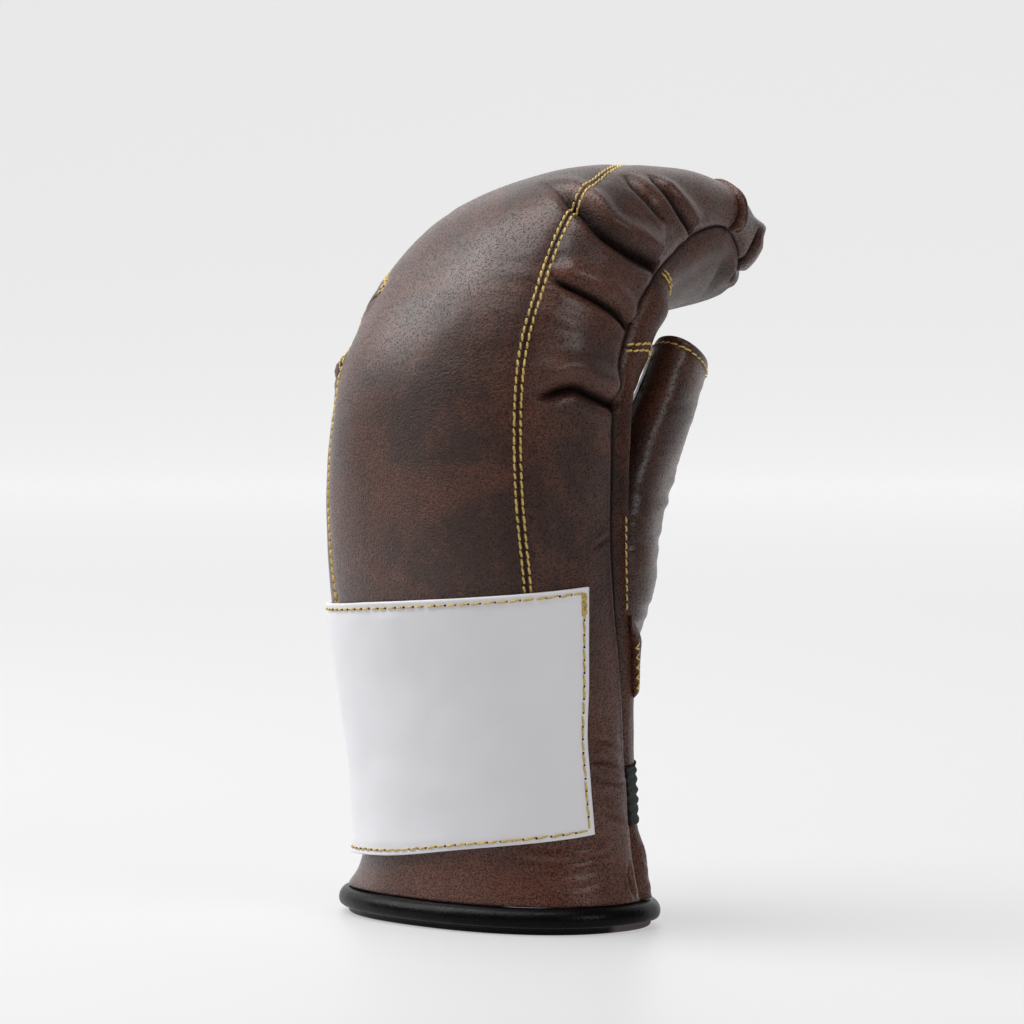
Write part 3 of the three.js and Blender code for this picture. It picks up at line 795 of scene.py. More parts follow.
def binding_finish():
    look = bpy.context.scene.glove_finish
    made = Finish("binding_leather", roughness=0.27, specular_ior_level=0.08)
    here = made.place()
    grain = made.cells(here, 1.3) * 0.5 + made.noise(here, 1.5, 3) * 0.6
    wear = made.noise(here, 0.12, 3)
    worn = tuple(2.2 * c for c in look.binding_color)
    suede = made.mask("suede")
    black = made.mix(made.fit(wear, 0.5, 0.8, 0, 0.5), look.binding_color[:], worn)
    made.feed(
        base_color=made.mix(suede, black, look.suede_color[:]),
        roughness=made.fit(wear, 0.3, 0.7, 0.24, 0.36) + suede * 0.5,
        normal=made.bump(grain, 0.00012),
    )
    return made.material


def elastic_finish():
    look = bpy.context.scene.glove_finish
    made = Finish("elastic_webbing", roughness=0.85)
    weave = made.noise(made.on_leather((0.6, 2.4)), 1.0, 2)
    fuzz = made.noise(made.place(), 3.0, 3)
    lighter = tuple(2.6 * c for c in look.elastic_color)
    made.feed(
        base_color=made.mix(made.fit(weave, 0.4, 0.7, 0, 0.7), look.elastic_color[:], lighter),
        normal=made.bump(weave + fuzz * 0.4, 0.0004),
    )
    return made.material


FINISHES = {
    "leather": leather_finish,
    "lining": lining_finish,
    "thread": thread_finish,
    "label": label_finish,
    "binding": binding_finish,
    "elastic": elastic_finish,
}
made_finishes = {}


def dress(piece, slot, *finishes, stands_for=(), fill=None):
    """Gives a piece its materials and its place on the frame. slot is not used."""
    for name in finishes:
        if name not in made_finishes:
            made_finishes[name] = FINISHES[name]()
        piece.data.materials.append(made_finishes[name])
    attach(piece, "root")
    if stands_for:
        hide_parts(*stands_for)
    return piece


def dress_leather(piece, node, fill):
    dress(piece, "leather", "leather", "lining", stands_for=[node], fill=fill)


# Sections near which the rows of the side panels are closer
FOLD_ROWS = (5.85, 7.13, 8.1, 8.97, 9.4, 11.1, 11.8)


def minus_seam(t):
    return -little_seam(t)


def minus_edge(t):
    return -edge_angle(t)


def far_edge(t):
    """The little finger's edge again, seen from the palm."""
    return 360 - edge_angle(t)


BACK_SHARES = shares(160, 0.75)
SIDE_SHARES = shares(96, 0.45)
PALM_SHARES = shares(120, 0.7)
SHEET_SHARES = shares(120, 0.5)


def make_back_panel():
    rows = rows_between(JOINT - LAP, LAST, 240, (8.4,), 1.0)
    piece = leather_panel("back_pad", rows, BACK_SHARES, minus_seam, seam_angle, curl=True)
    dress_leather(piece, "back_panel", 0.9)


def make_side_panels():
    rows = rows_between(JOINT - LAP, LAST, 400, FOLD_ROWS)
    piece = leather_panel("side_pad_thumb", rows, SIDE_SHARES, seam_angle, edge_angle, curl=True)
    dress_leather(piece, "side_panel_thumb", 0.8)
    piece = leather_panel("side_pad_little", rows, SIDE_SHARES, minus_edge, minus_seam, curl=True)
    dress_leather(piece, "side_panel_little", 0.8)


def make_cuff():
    rows = rows_between(0, JOINT, 56)
    t = rows[:, None]
    seam, little, edge = seam_angle(t), little_seam(t), edge_angle(t)
    parts = [
        -edge + SIDE_SHARES[None] * (edge - little),
        -little + BACK_SHARES[None, 1:] * (little + seam),
        seam + SIDE_SHARES[None, 1:] * (edge - seam),
    ]
    angle = np.concatenate(parts, 1)
    t = np.broadcast_to(t, angle.shape)
    points, _, masks = skin(t, angle)
    uv = leather_map(t, angle)
    inner = inner_point(t[COARSE_GRID], angle[COARSE_GRID])
    piece = slab("cuff_leather", points, inner, masks, uv.reshape(-1, 2))
    dress_leather(piece, "cuff_wall", 0.3)


def thumb_middle(v):
    return np.stack([column(THUMB, 0, v), column(THUMB, 1, v) + ORIGIN_Y, column(THUMB, 2, v)], -1)


def thumb_frame(v):
    top = len(THUMB) - 1
    along = unit(thumb_middle(np.minimum(top, v + 0.1)) - thumb_middle(np.maximum(0, v - 0.1)))
    turn = math.radians(THUMB_TURN)
    through = np.broadcast_to([math.cos(turn), math.sin(turn), 0.0], along.shape)
    through = unit(through - along * (through * along).sum(-1, keepdims=True))
    return thumb_middle(v), along, np.cross(along, through), through


def thumb_point(v, turn, inset=0.0, shift=0.0):
    """Points round the sheath: v from 0 at its foot to 6 at its rim, turn in radians round it."""
    v, turn = spread_over(v, turn)
    middle, along, across, through = thumb_frame(v)
    wide = column(THUMB, 3, v) - inset
    deep = column(THUMB, 4, v) - inset
    shift = shift - 0.65 * (1 + np.sin(turn)) * ease((v - 4.4) / 1.6)
    return (
        middle
        + along * np.asarray(shift)[..., None]
        + across * (wide * np.cos(turn))[..., None]
        + through * (deep * np.sin(turn))[..., None]
    )


def inside_hand(points, margin=0.0):
    """How far points lie inside the palm side of the hand part, roughly, in millimetres."""
    t = np.linspace(2, 9, 400)
    y, z = spine(t)
    section = np.interp(points[..., 2], z[:300], t[:300])
    palm = PALM_DEPTH * column(SECTIONS, 4, section) + margin
    wide = HALF_WIDTH * column(SECTIONS, 2, section) + margin
    power = column(SECTIONS, 5, section)
    y_mid = np.interp(section, t, y) + ORIGIN_Y
    x = np.abs(points[..., 0]) / wide
    y = np.maximum(points[..., 1] - y_mid, 0) / palm
    return (1 - (x**power + y**power) ** (1 / power)) * palm


def make_thumb():
    top = len(THUMB) - 1
    turns = np.linspace(0, 2 * np.pi, 161)
    v = np.linspace(0, top, 600)[:, None]
    buried = inside_hand(thumb_point(v, turns[None])) > 6.5
    # each column starts where it comes out of the hand
    starts = [v[np.flatnonzero(column_in)[-1], 0] if column_in.any() else 1.5 for column_in in buried.T]
    foot = np.minimum(starts, top - 1)
    foot[-1] = foot[0]
    share = np.linspace(0, 1, 201)[:, None]
    v = foot[None] + share * (top - foot[None])
    turn = np.broadcast_to(turns[None], v.shape)
    points = thumb_point(v, turn)
    normal = unit(points - thumb_middle(v))
    height = points[..., 2]
    rise = 0.35 * soft_noise(points, 13, 8) + 0.4 * soft_noise(points * (0.4, 0.4, 1.6), 6, 9)
    rise += 0.14 * soft_noise(points * (0.3, 0.3, 1.4), 2.2, 11)
    bend = bell((height - 128) / 14) + 0.9 * bell((height - 95) / 12)
    rise += 0.7 * bend * soft_noise(points * (0.4, 0.4, 1.5), 4.5, 10)
    fade = ease((top - v) / 0.6)
    rise *= 0.35 + 0.65 * fade
    # The leather darkens the rim's stitch line as painted shade
    groove = bell((v - top + RIM_ROW) / 0.02) * 0.8
    rise -= 0.25 * bell((v - top + RIM_ROW) / 0.03)
    outer = points + normal * rise[..., None]
    masks = {"crease": np.zeros(v.shape), "ridge": np.zeros(v.shape), "groove": groove,
             "wrinkle": 0.25 + 0.75 * np.clip(bend, 0, 1) * fade, "polish": np.ones(v.shape)}
    uv = np.stack([turn * 0.014, height * 0.001], -1)
    edge_in = thumb_point(v[-1], turn[-1], THUMB_WALL)
    ahead = thumb_frame(v[-1])[1]
    outer, masks, uv = curled(outer, edge_in, ahead, COARSE, masks, uv)
    low_v, low_turn = v[COARSE_GRID], turn[COARSE_GRID]
    inner = thumb_point(low_v, low_turn, THUMB_WALL)
    inner = np.concatenate([inner, inner[-1:]])
    inner[-2] = thumb_point(low_v[-1] - 0.1, low_turn[-1], THUMB_WALL)
    piece = slab("thumb_leather", outer, inner, masks, uv.reshape(-1, 2))
    weld(piece)
    dress_leather(piece, "thumb_sheath", 0.3)


# The sections between which the tail of the thumb's seam lies, and the corners of its zigzag
TAIL_START = 2.72
TAIL_END = 3.64
TAIL_CORNERS = 11


def tail_place(t, across):
    """The angle on the tail of the thumb's seam. across goes from -1 to 1."""
    share = (t - TAIL_START) / (TAIL_END - TAIL_START)
    return 108.3 - 3.6 * share + across * (3.0 * np.sqrt(1 - (1 - np.clip(share / 0.16, 0, 1)) ** 2) + 0.3)


def make_thumb_tail():
    rows, across = np.linspace(TAIL_START, TAIL_END, 81)[:, None], np.linspace(-1, 1, 33)[None]
    angle = tail_place(rows, across)
    t = np.broadcast_to(rows, angle.shape)
    points, normal, masks = skin(t, angle)
    crown = 1.7 * np.sqrt(1 - 0.75 * across**4) * ease((t - TAIL_START) / 0.1 + 0.35)
    wave = 0.35 * soft_noise(points * (1, 1, 0.6), 4, 61)
    outer = points + normal * (crown + wave)[..., None]
    uv = leather_map(t, angle)
    piece = slab("thumb_tail", outer, (points + normal * 0.15)[COARSE_GRID], masks, uv.reshape(-1, 2))
    dress(piece, "leather", "leather", "lining", fill=0.1)
    corners = np.linspace(TAIL_START + 0.07, TAIL_END - 0.3, TAIL_CORNERS)
    turns = tail_place(corners, 0.45 * (-1.0) ** np.arange(TAIL_CORNERS) - 0.5)
    line, normal, _ = skin(corners, turns)
    line += normal * 1.6
    pitch = float(np.linalg.norm(np.diff(line, axis=0), axis=1).mean())
    thick = stitch_sizes()[2] * 0.8
    sewn("tail_stitches", [(line, normal, pitch, pitch * 0.95, thick, 430)], "leather")


def weld(piece):
    """Closes a tube whose two long edges lie on each other."""
    shell = bmesh.new()
    shell.from_mesh(piece.data)
    bmesh.ops.remove_doubles(shell, verts=shell.verts, dist=1e-6)
    doubled = {}
    for face in shell.faces:
        doubled.setdefault(frozenset(v.index for v in face.verts), []).append(face)
    extra = [f for group in doubled.values() if len(group) > 1 for f in group]
    bmesh.ops.delete(shell, geom=extra, context="FACES_ONLY")
    shell.to_mesh(piece.data)
    shell.free()


def make_palm():
    rows = rows_between(PALM_FOOT, GRIP_START, 160)
    piece = leather_panel("palm_leather", rows, PALM_SHARES, edge_angle, far_edge)
    count, around = 12, 24
    v = np.linspace(1, len(THUMB) - 1, count)
    turns = np.linspace(0, 2 * np.pi, around, endpoint=False)
    middle = thumb_middle(v)[:, None]
    rings = middle + (thumb_point(v[:, None], turns[None], 2.4) - middle) * HOLE_SHARE
    faces = ring_faces(count - 1, count, around)
    faces += [list(range(around))[::-1], list(range((count - 1) * around, count * around))]
    cutter = add_piece("thumb_hole", rings.reshape(-1, 3), faces)
    hole = piece.modifiers.new("hole", "BOOLEAN")
    hole.object, hole.operation, hole.solver = cutter, "DIFFERENCE", "EXACT"
    bpy.ops.object.select_all(action="DESELECT")
    bpy.context.view_layer.objects.active = piece
    bpy.ops.object.modifier_apply(modifier=hole.name)
    bpy.data.objects.remove(cutter)
    dress_leather(piece, "palm_panel", 0.3)


def make_grip_roll():
    rows = rows_between(GRIP_START, GRIP_END, 80)
    piece = leather_panel("grip_pad", rows, PALM_SHARES, edge_angle, far_edge)
    dress_leather(piece, "grip_roll", 0.8)


def make_finger_pad():
    rows = rows_between(GRIP_END, LAST, 120)
    piece = leather_panel("finger_roll", rows, PALM_SHARES, edge_angle, far_edge, curl=True)
    dress_leather(piece, "finger_pad", 0.9)


def cuff_sheet(name, rows, across, sink, thickness, ripple):
    """A thin sheet on the palm side of the cuff."""
    t = rows[:, None]
    start = edge_angle(t) - 1.5
    angle = start + across[None] * (360 - 2 * start)
    t = np.broadcast_to(t, angle.shape)
    plain, normal, _ = form_frame(t, angle)
    outer = plain + normal * (ripple(plain, t, angle) - sink)[..., None]
    inner = (plain - normal * (sink + thickness))[COARSE_GRID]
    uv = leather_map(t, angle, 0.04)
    zeros = np.zeros(t.shape)
    masks = {"crease": zeros, "ridge": zeros, "groove": zeros, "wrinkle": zeros + 0.8, "polish": zeros + 0.2}
    return slab(name, outer, inner, masks, uv.reshape(-1, 2))


def make_gusset():
    def crumple(plain, t, angle):
        from_edge = 180 - np.abs(angle - 180) - edge_angle(t)
        folds = 0.6 * soft_noise(plain * (1, 1, 0.5), 5, 21) + 0.3 * soft_noise(plain, 2.5, 22)
        return folds + 4.3 * bell((from_edge - 8) / 7) * ease((1.9 - t) / 1.1)

    rows = rows_between(0, PALM_FOOT, 60)
    piece = cuff_sheet("gusset_leather", rows, SHEET_SHARES, GUSSET_SINK + 0.5, 1.2, crumple)
    dress_leather(piece, "cuff_gusset", 0.2)


def make_elastic():
    def ribs(plain, t, angle):
        bands = np.sin(spine_length(t) * 2 * np.pi / 3.0 + 0.8 * soft_noise(plain, 6, 32))
        return 0.3 * bands + 0.2 * soft_noise(plain * (0.2, 0.2, 1), 1.2, 31)

    rows = rows_between(float(section_at(PALM_START - ELASTIC_HEIGHT)), PALM_FOOT, 60)
    piece = cuff_sheet("elastic_band", rows, SHEET_SHARES, 0.1, 1.5, ribs)
    dress(piece, "elastic", "elastic", "elastic", stands_for=["cuff_elastic"], fill=0.2)


# The binding's outline, as shares of its reach to the outside, or of its inset where negative, and of
# its height
BINDING_SECTION = [(-1, 0.03), (-0.6, 0), (0.05, 0), (0.24, 0.06), (0.3, 0.18), (0.5, 0.25), (0.85, 0.32),
                   (1, 0.52), (0.9, 0.76), (0.55, 0.95), (0, 1), (-0.6, 1), (-1, 0.97)]


def make_binding():
    out, up = along_path(BINDING_SECTION, 49)
    outset = np.where(out > 0, out * BINDING_REACH, out * BINDING_INSET)
    angle = np.linspace(0, 360, 320, endpoint=False)
    plain, normal, _ = form_frame(np.zeros(angle.shape), angle)
    flat = unit(normal * (1, 1, 0))
    wave = 0.35 * soft_noise(plain, 17, 41) + 0.15 * soft_noise(plain, 6, 42)
    reach = outset[None] + wave[:, None] * np.clip(out, 0, 1)[None]
    rings = plain[:, None] + flat[:, None] * reach[..., None]
    rings[..., 2] = BINDING_HEIGHT * up[None] + wave[:, None] * 0.8 * (np.clip(up, 0.3, 1) - 0.3)[None]
    count, around = rings.shape[:2]
    faces = ring_faces(count, count, around)
    under = ease((0.34 - up) / 0.06)[None] * ease((angle - 84) / 4)[:, None] * ease((210 - angle) / 10)[:, None]
    piece = add_piece("binding_roll", rings.reshape(-1, 3), faces, {"suede": under})
    dress(piece, "binding", "binding", stands_for=["cuff_binding"], fill=1.0)


LABEL_HEIGHT = 81.0
LABEL_RISE = 12.6
LABEL_TILT = 8.5
# How far the label reaches to each side, in degrees, and its breadth round the cuff in millimetres
LABEL_REACH = 80.0
LABEL_BREADTH = 160.0
# How far inside the label's edge its stitches run, how far apart they are and how long, in millimetres
LABEL_INSET = 1.7
LABEL_STITCH_PITCH = 4.2
LABEL_STITCH = 3.9


def label_place(across, up):
    """Section number and angle on the label, for shares across and up it."""
    reach = column([(0.9,), (0.2,), (-0.3,), (1.0,), (1.6,), (2.2,)], 0, up * 5)
    angle = (across - 0.5) * 2 * LABEL_REACH + reach * across**4
    low = 5.2 * np.clip((across - 0.3) / 0.7, 0, 1) ** 1.6 - 3.2
    high = -1.2 * (1 - np.clip(across / 0.4, 0, 1))
    height = LABEL_RISE + LABEL_TILT * across + LABEL_HEIGHT * up + low * (1 - up) + high * up
    return section_at(height), angle


def label_face(across, up, lift):
    t, angle = label_place(across, up)
    plain, normal, _ = form_frame(t, angle)
    wave = 0.5 * soft_noise(plain * (1, 1, 0.8), 22, 51) + 0.2 * soft_noise(plain, 9, 52)
    edge = np.minimum(np.minimum(across, 1 - across) * LABEL_BREADTH, np.minimum(up, 1 - up) * 80)
    held = bell((edge - LABEL_INSET) / 1.6)
    return plain + normal * (lift + 0.5 + wave * (1 - 0.6 * held) - 0.25 * held)[..., None], normal


def make_label():
    across, up = np.linspace(0, 1, 241)[None], np.linspace(0, 1, 121)[:, None]
    across, up = np.broadcast_arrays(across, up)
    outer, _ = label_face(across, up, 1.5)
    inner, _ = label_face(across[COARSE_GRID], up[COARSE_GRID], 0.4)
    piece = slab("back_label", outer, inner)
    dress(piece, "label", "label", "label", stands_for=["cuff_label"], fill=0.1)


# A stitch from end to end: how far each part goes on and up, and how much thicker it gets
STITCH_STEPS = [(0.1, 0.32, 2.4), (0.2, 0.2, 1.25), (0.2, 0.06, 1.03), (0.2, -0.06, 0.97), (0.2, -0.2, 0.8),
                (0.1, -0.32, 0.42)]


def stitch_shape():
    """One stitch, lying along X, a unit long and a unit thick, that dives at both ends."""
    bpy.ops.object.select_all(action="DESELECT")
    bpy.ops.mesh.primitive_circle_add(vertices=6, radius=0.16, fill_type="NGON", rotation=(0, math.pi / 2, 0))
    bpy.ops.object.transform_apply(location=False, rotation=True, scale=False)
    piece = bpy.context.active_object
    piece.name = "stitch"
    bpy.ops.object.mode_set(mode="EDIT")
    bpy.ops.mesh.select_all(action="SELECT")
    bpy.ops.transform.translate(value=(-0.5, 0, -0.3))
    for step, rise, grow in STITCH_STEPS:
        bpy.ops.mesh.extrude_region_move(TRANSFORM_OT_translate={"value": (step, 0, rise)})
        bpy.ops.transform.resize(value=(1, grow, grow))
    bpy.ops.object.mode_set(mode="OBJECT")
    points = np.array([v.co[:] for v in piece.data.vertices])
    faces = [list(p.vertices) for p in piece.data.polygons]
    bpy.data.objects.remove(piece)
    return points, faces


def on_line(at, run, values):
    """What values that belong to a line's points come to at a length along it."""
    return np.array([np.interp(at, run, values[:, k]) for k in range(3)])


def sewn(name, rows, slot, finish="thread"):
    """One piece from rows of stitches. A row is (points, normals, pitch, length, thickness, seed)."""
    shape, shape_faces = stitch_shape()
    points, faces = [], []
    for line, normal, pitch, length, thickness, seed in rows:
        chance = np.random.default_rng(seed)
        run = length_along(line)
        for at in np.arange(pitch / 2, run[-1] - pitch / 4, pitch):
            at += chance.normal(0, 0.05) * pitch
            size = length * (1 + chance.normal(0, 0.06))
            ends = [on_line(at + s * size / 2, run, line) for s in (-1, 1)]
            up = unit(on_line(at, run, normal))
            along = unit(ends[1] - ends[0])
            side = unit(np.cross(up, along))
            slant = chance.normal(0.13, 0.05)
            along = unit(along + side * slant)
            side = unit(np.cross(up, along))
            middle = (ends[0] + ends[1]) / 2
            fat = thickness * (1 + chance.normal(0, 0.05))
            start = sum(len(p) for p in points)
            points.append(middle + shape[:, :1] * size * along + shape[:, 1:2] * fat * side
                          + (shape[:, 2:] * fat + 0.12 * fat) * up)
            faces += [[start + i for i in face] for face in shape_faces]
    piece = add_piece(name, np.concatenate(points), faces)
    return dress(piece, slot, finish)


def stitch_sizes():
    """Pitch, length and thickness of the stitches in millimetres."""
    form = bpy.context.scene.glove_form
    return [1000 * v for v in (form.stitch_pitch, form.stitch_length, form.stitch_thickness)]


def skin_row(t, angle, offset):
    """A line on the leather, offset in millimetres round the hand from the given angle."""
    per_degree = form_frame(t, angle)[2]
    points, normal, _ = skin(t, angle + offset / per_degree)
    return points, normal


# The height above the binding at which the seams' stitches come out from under the label
SEAM_FOOT = 88.0


def make_seam_stitches():
    pitch, length, thick = stitch_sizes()
    half = bpy.context.scene.glove_form.stitch_rows * 500
    t = rows_between(float(section_at(SEAM_FOOT)), LAST - 0.05, 900)
    rows = []
    for side in (-1, 1):
        for n, row in enumerate((-1, 1)):
            seam = seam_angle(t) if side > 0 else -little_seam(t)
            line, normal = skin_row(t, seam, row * half)
            rows.append((line, normal, pitch, length, thick, 100 + 10 * side + n))
    sewn("seam_stitches", rows, "leather")


def make_label_stitches():
    a, u = LABEL_INSET / LABEL_BREADTH, LABEL_INSET / LABEL_HEIGHT
    n = 400
    path = [(np.linspace(a, 1 - a, n), np.full(n, u)), (np.full(n, 1 - a), np.linspace(u, 1 - u, n)),
            (np.linspace(1 - a, a, n), np.full(n, 1 - u)), (np.full(n, a), np.linspace(1 - u, u, n))]
    rows, hole_shades = [], []
    thick, pitch = stitch_sizes()[2], LABEL_STITCH_PITCH
    for k, (across, up) in enumerate(path):
        line, normal = label_face(across, up, 1.5)
        rows.append((line, normal, pitch, LABEL_STITCH, thick * 0.9, 300 + k))
        run = length_along(line)
        between = run > pitch / 2
        # Dark pieces in the gaps between the stitches stand for the needle holes: painted shade
        hole_shades.append((line[between], normal[between], pitch, 0.75, thick * 0.8, 310 + k))
    # three short rows beside each other hold the upper corner
    for k in (-1, 0, 1):
        line, normal = label_face(np.full(60, 1 - a * (1 + 0.35 * k)), np.linspace(1 - 5.2 * u, 1 - u, 60), 1.6)
        rows.append((line, normal, 2.4, 2.6, thick * 0.8, 320 + k))
    sewn("label_stitches", rows, "label")
    sewn("needle_hole_shade", hole_shades, "label", "lining")


# Rows across the palm: their section, and how far they rise between the sides and the middle
CROSS_ROWS = [(GRIP_START - 0.09, 0.3), (GRIP_START + 0.03, 0.3), (GRIP_END - 0.06, 0), (GRIP_END + 0.06, 0)]
# The stitches beside the foot of the thumb: the first and the last section, and the angle
THUMB_SEAM = (3.7, 4.68, 100.2)


def make_details():
    """Rows across the palm, beside the foot of the thumb and round the rim of its sheath."""
    pitch, length, thick = stitch_sizes()
    rows = []
    for k, (at, climb) in enumerate(CROSS_ROWS):
        angle = np.linspace(float(edge_angle(at)) + 1, 360 - float(edge_angle(at)) - 1, 300)
        t = at + climb * ease((angle - 94) / 14) * ease((266 - angle) / 14)
        points, normal, _ = skin(t, angle)
        rows.append((points, normal, pitch, length, thick, 400 + k))
    first, last, beside = THUMB_SEAM
    points, normal, _ = skin(np.linspace(first, last, 200), np.full(200, beside))
    rows.append((points, normal, pitch, length * 0.9, thick * 0.75, 420))
    top = len(THUMB) - 1
    turn = np.linspace(0, 2 * np.pi, 300)
    v = np.full(300, top - RIM_ROW)
    line = thumb_point(v, turn)
    rows.append((line, unit(line - thumb_middle(v)), pitch, length * 0.95, thick * 0.8, 410))
    sewn("palm_stitches", rows, "leather")


# How far the studio's paper reaches to the sides and to the front, in metres
PAPER_REACH = 7.0
# What the paper gives off: millimetres behind the glove, and shares of the near and of the far glow
GLOW_LEVELS = [(-3600, 0.4, 0), (-800, 0.6, 0), (-250, 1, 0), (250, 1, 0), (1400, 0.72, 0.28),
               (2400, 0.43, 0.57), (3300, 0.2, 0.8), (3600, 0, 1)]
FOCAL_LENGTH = 239.8
SENSOR_WIDTH = 36.0
# Where the camera and the lamps aim: metres to the right of the glove's middle line, and up
CAMERA_AIM = (0.00387, 0.1312)
LAMP_AIM = (0.0, 0.12)


def studio_finish(name, color, away, near_glow, far_glow):
    """Studio paper that glows with painted light, a little at the glove and more so far away, where the softboxes
    don't reach. away is the camera's way over the floor."""
    made = Finish(name, roughness=0.42, specular_ior_level=0.25, emission_strength=1.0)
    here = made.place()
    past = made.node("ShaderNodeVectorMath", {"operation": "DOT_PRODUCT"}, {0: here, 1: tuple(away)}, "Value")
    cloud = made.noise(here, 0.002, 2)
    lower = tuple(0.985 * c for c in color)
    whole = GLOW_LEVELS[-1][0] - GLOW_LEVELS[0][0]
    stops = [(place / whole + 0.5, (near * near_glow + far * far_glow,) * 3)
             for place, near, far in GLOW_LEVELS]
    made.feed(
        base_color=made.mix(cloud, lower, tuple(color)),
        # The glow is painted light, stronger far from the glove
        emission_color=made.ramp(past / whole + 0.5, stops),
    )
    return made.material


def select_edge(mesh, ends):
    for edge in mesh.edges:
        edge.select = set(edge.vertices) == ends


def make_sweep(right, away):
    """Paper that lies flat round the glove and turns up far behind it."""
    studio = bpy.context.scene.glove_studio
    bpy.ops.object.select_all(action="DESELECT")
    bpy.ops.mesh.primitive_plane_add(size=6.0)
    paper = bpy.context.active_object
    paper.name = "studio_sweep"
    bpy.ops.object.mode_set(mode="EDIT")
    bpy.ops.mesh.select_all(action="DESELECT")
    bpy.ops.object.mode_set(mode="OBJECT")
    near, far = -PAPER_REACH, studio.sweep_distance
    corners = [right * side * PAPER_REACH + away * end for end in (near, far) for side in (-1, 1)]
    for vertex, corner in zip(paper.data.vertices, corners):
        vertex.co = corner
    select_edge(paper.data, {2, 3})
    bpy.ops.object.mode_set(mode="EDIT")
    bpy.ops.mesh.extrude_region_move(TRANSFORM_OT_translate={"value": (0, 0, 5.0)})
    bpy.ops.mesh.select_all(action="DESELECT")
    bpy.ops.object.mode_set(mode="OBJECT")
    select_edge(paper.data, {2, 3})
    bpy.ops.object.mode_set(mode="EDIT")
    bpy.ops.mesh.bevel(offset=1.2, offset_type="OFFSET", segments=24, affect="EDGES")
    bpy.ops.object.mode_set(mode="OBJECT")
    bpy.ops.object.shade_smooth()
    finish = studio_finish("studio_paper", studio.floor_color[:], away, studio.near_glow, studio.far_glow)
    paper.data.materials.append(finish)


def aim_point(right, aim):
    return Vector((0, ORIGIN_Y * 0.001, 0)) + right * aim[0] + Vector((0, 0, aim[1]))


def make_lights(right, away):
    studio = bpy.context.scene.glove_studio
    world = bpy.data.worlds.new("studio")
    world.use_nodes = True
    room = world.node_tree.nodes["Background"]
    room.inputs["Color"].default_value = (0.95, 0.97, 1.0, 1)
    room.inputs["Strength"].default_value = studio.world_strength
    bpy.context.scene.world = world
    for name, place, size, power in (
        ("top_softbox", right * -0.45 - away * 0.05 + Vector((0, 0, 1.45)), 1.2, studio.key_power),
        ("left_softbox", right * -1.3 + away * 0.35 + Vector((0, 0, 1.1)), 1.0, studio.fill_power),
        ("right_softbox", right * 1.3 - away * 1.4 + Vector((0, 0, 1.1)), 0.8, studio.side_power),
    ):
        light = bpy.data.lights.new(name, "AREA")
        light.size, light.energy = size, power
        lamp = add_object(name, light)
        lamp.location = place
        aim = aim_point(right, LAMP_AIM) - place
        lamp.rotation_euler = aim.to_track_quat("-Z", "Y").to_euler()


def make_camera(right):
    studio = bpy.context.scene.glove_studio
    lens = bpy.data.cameras.new("studio_camera")
    lens.lens, lens.sensor_width = FOCAL_LENGTH, SENSOR_WIDTH
    lens.clip_end = 20
    camera = add_object("studio_camera", lens)
    turn, height = studio.camera_azimuth, studio.camera_elevation
    back = Vector((math.sin(turn) * math.cos(height), -math.cos(turn) * math.cos(height), math.sin(height)))
    camera.location = aim_point(right, CAMERA_AIM) + back * studio.camera_distance
    camera.rotation_euler = (-back).to_track_quat("-Z", "Y").to_euler()
    bpy.context.scene.camera = camera
    bpy.context.scene.view_settings.view_transform = "Standard"


def make_stage():
    turn = bpy.context.scene.glove_studio.camera_azimuth
    away = Vector((-math.sin(turn), math.cos(turn), 0))
    right = Vector((math.cos(turn), math.sin(turn), 0))
    make_sweep(right, away)
    make_lights(right, away)
    make_camera(right)


def length_prop(name, default, description):
    return bpy.props.FloatProperty(name=name, description=description, default=default, min=0, unit="LENGTH",
                                   precision=5)


def angle_prop(name, degrees, description):
    return bpy.props.FloatProperty(name=name, description=description, default=math.radians(degrees),
                                   unit="ROTATION", precision=5)


def share_prop(name, default, description):
    return bpy.props.FloatProperty(name=name, description=description, default=default, min=0)


def power_prop(name, default, description):
    return bpy.props.FloatProperty(name=name, description=description, default=default, min=0, unit="POWER")


def colour_prop(name, default, description):
    return bpy.props.FloatVectorProperty(name=name, description=description, default=default, size=3,
                                         subtype="COLOR", min=0, max=1)


class GloveForm(bpy.types.PropertyGroup):
    fold_depth: share_prop("Fold depth", 1.0, "Share of their full depth that the folds have")
    stitch_pitch: length_prop("Stitch pitch", 0.00275, "From one stitch of a seam to the next")
    stitch_length: length_prop("Stitch length", 0.0026, "Length of a stitch")
    stitch_thickness: length_prop("Thread", 0.00082, "Thickness of the thread")
    stitch_rows: length_prop("Rows apart", 0.0021, "Distance between the two rows of a seam")


class GloveFinish(bpy.types.PropertyGroup):
    leather_color: colour_prop("Leather", (0.13, 0.039, 0.02), "Main colour of the leather")
    leather_dark: colour_prop("Dark leather", (0.031, 0.0092, 0.0048), "Colour of its dark patches")
    # Rubbed wear, the lighter bottom of the glove and the painted highlight on the fold crests
    leather_wear_and_sheen: colour_prop("Rubbed leather", (0.2, 0.062, 0.035), "Colour where it is rubbed")
    # The dark of the pores, and the painted shade in the folds and grooves
    leather_pores_and_shade: colour_prop("Creases", (0.006, 0.0032, 0.0026), "Colour at the bottom of the folds")
    thread_color: colour_prop("Thread", (0.78, 0.55, 0.16), "Colour of the stitches")
    label_color: colour_prop("Label", (0.82, 0.81, 0.84), "Colour of the label")
    binding_color: colour_prop("Binding", (0.003, 0.003, 0.0035), "Colour of the binding")
    suede_color: colour_prop("Suede", (0.11, 0.09, 0.085), "Colour of the bare edge under the binding")
    elastic_color: colour_prop("Elastic", (0.006, 0.006, 0.0065), "Colour of the elastic")


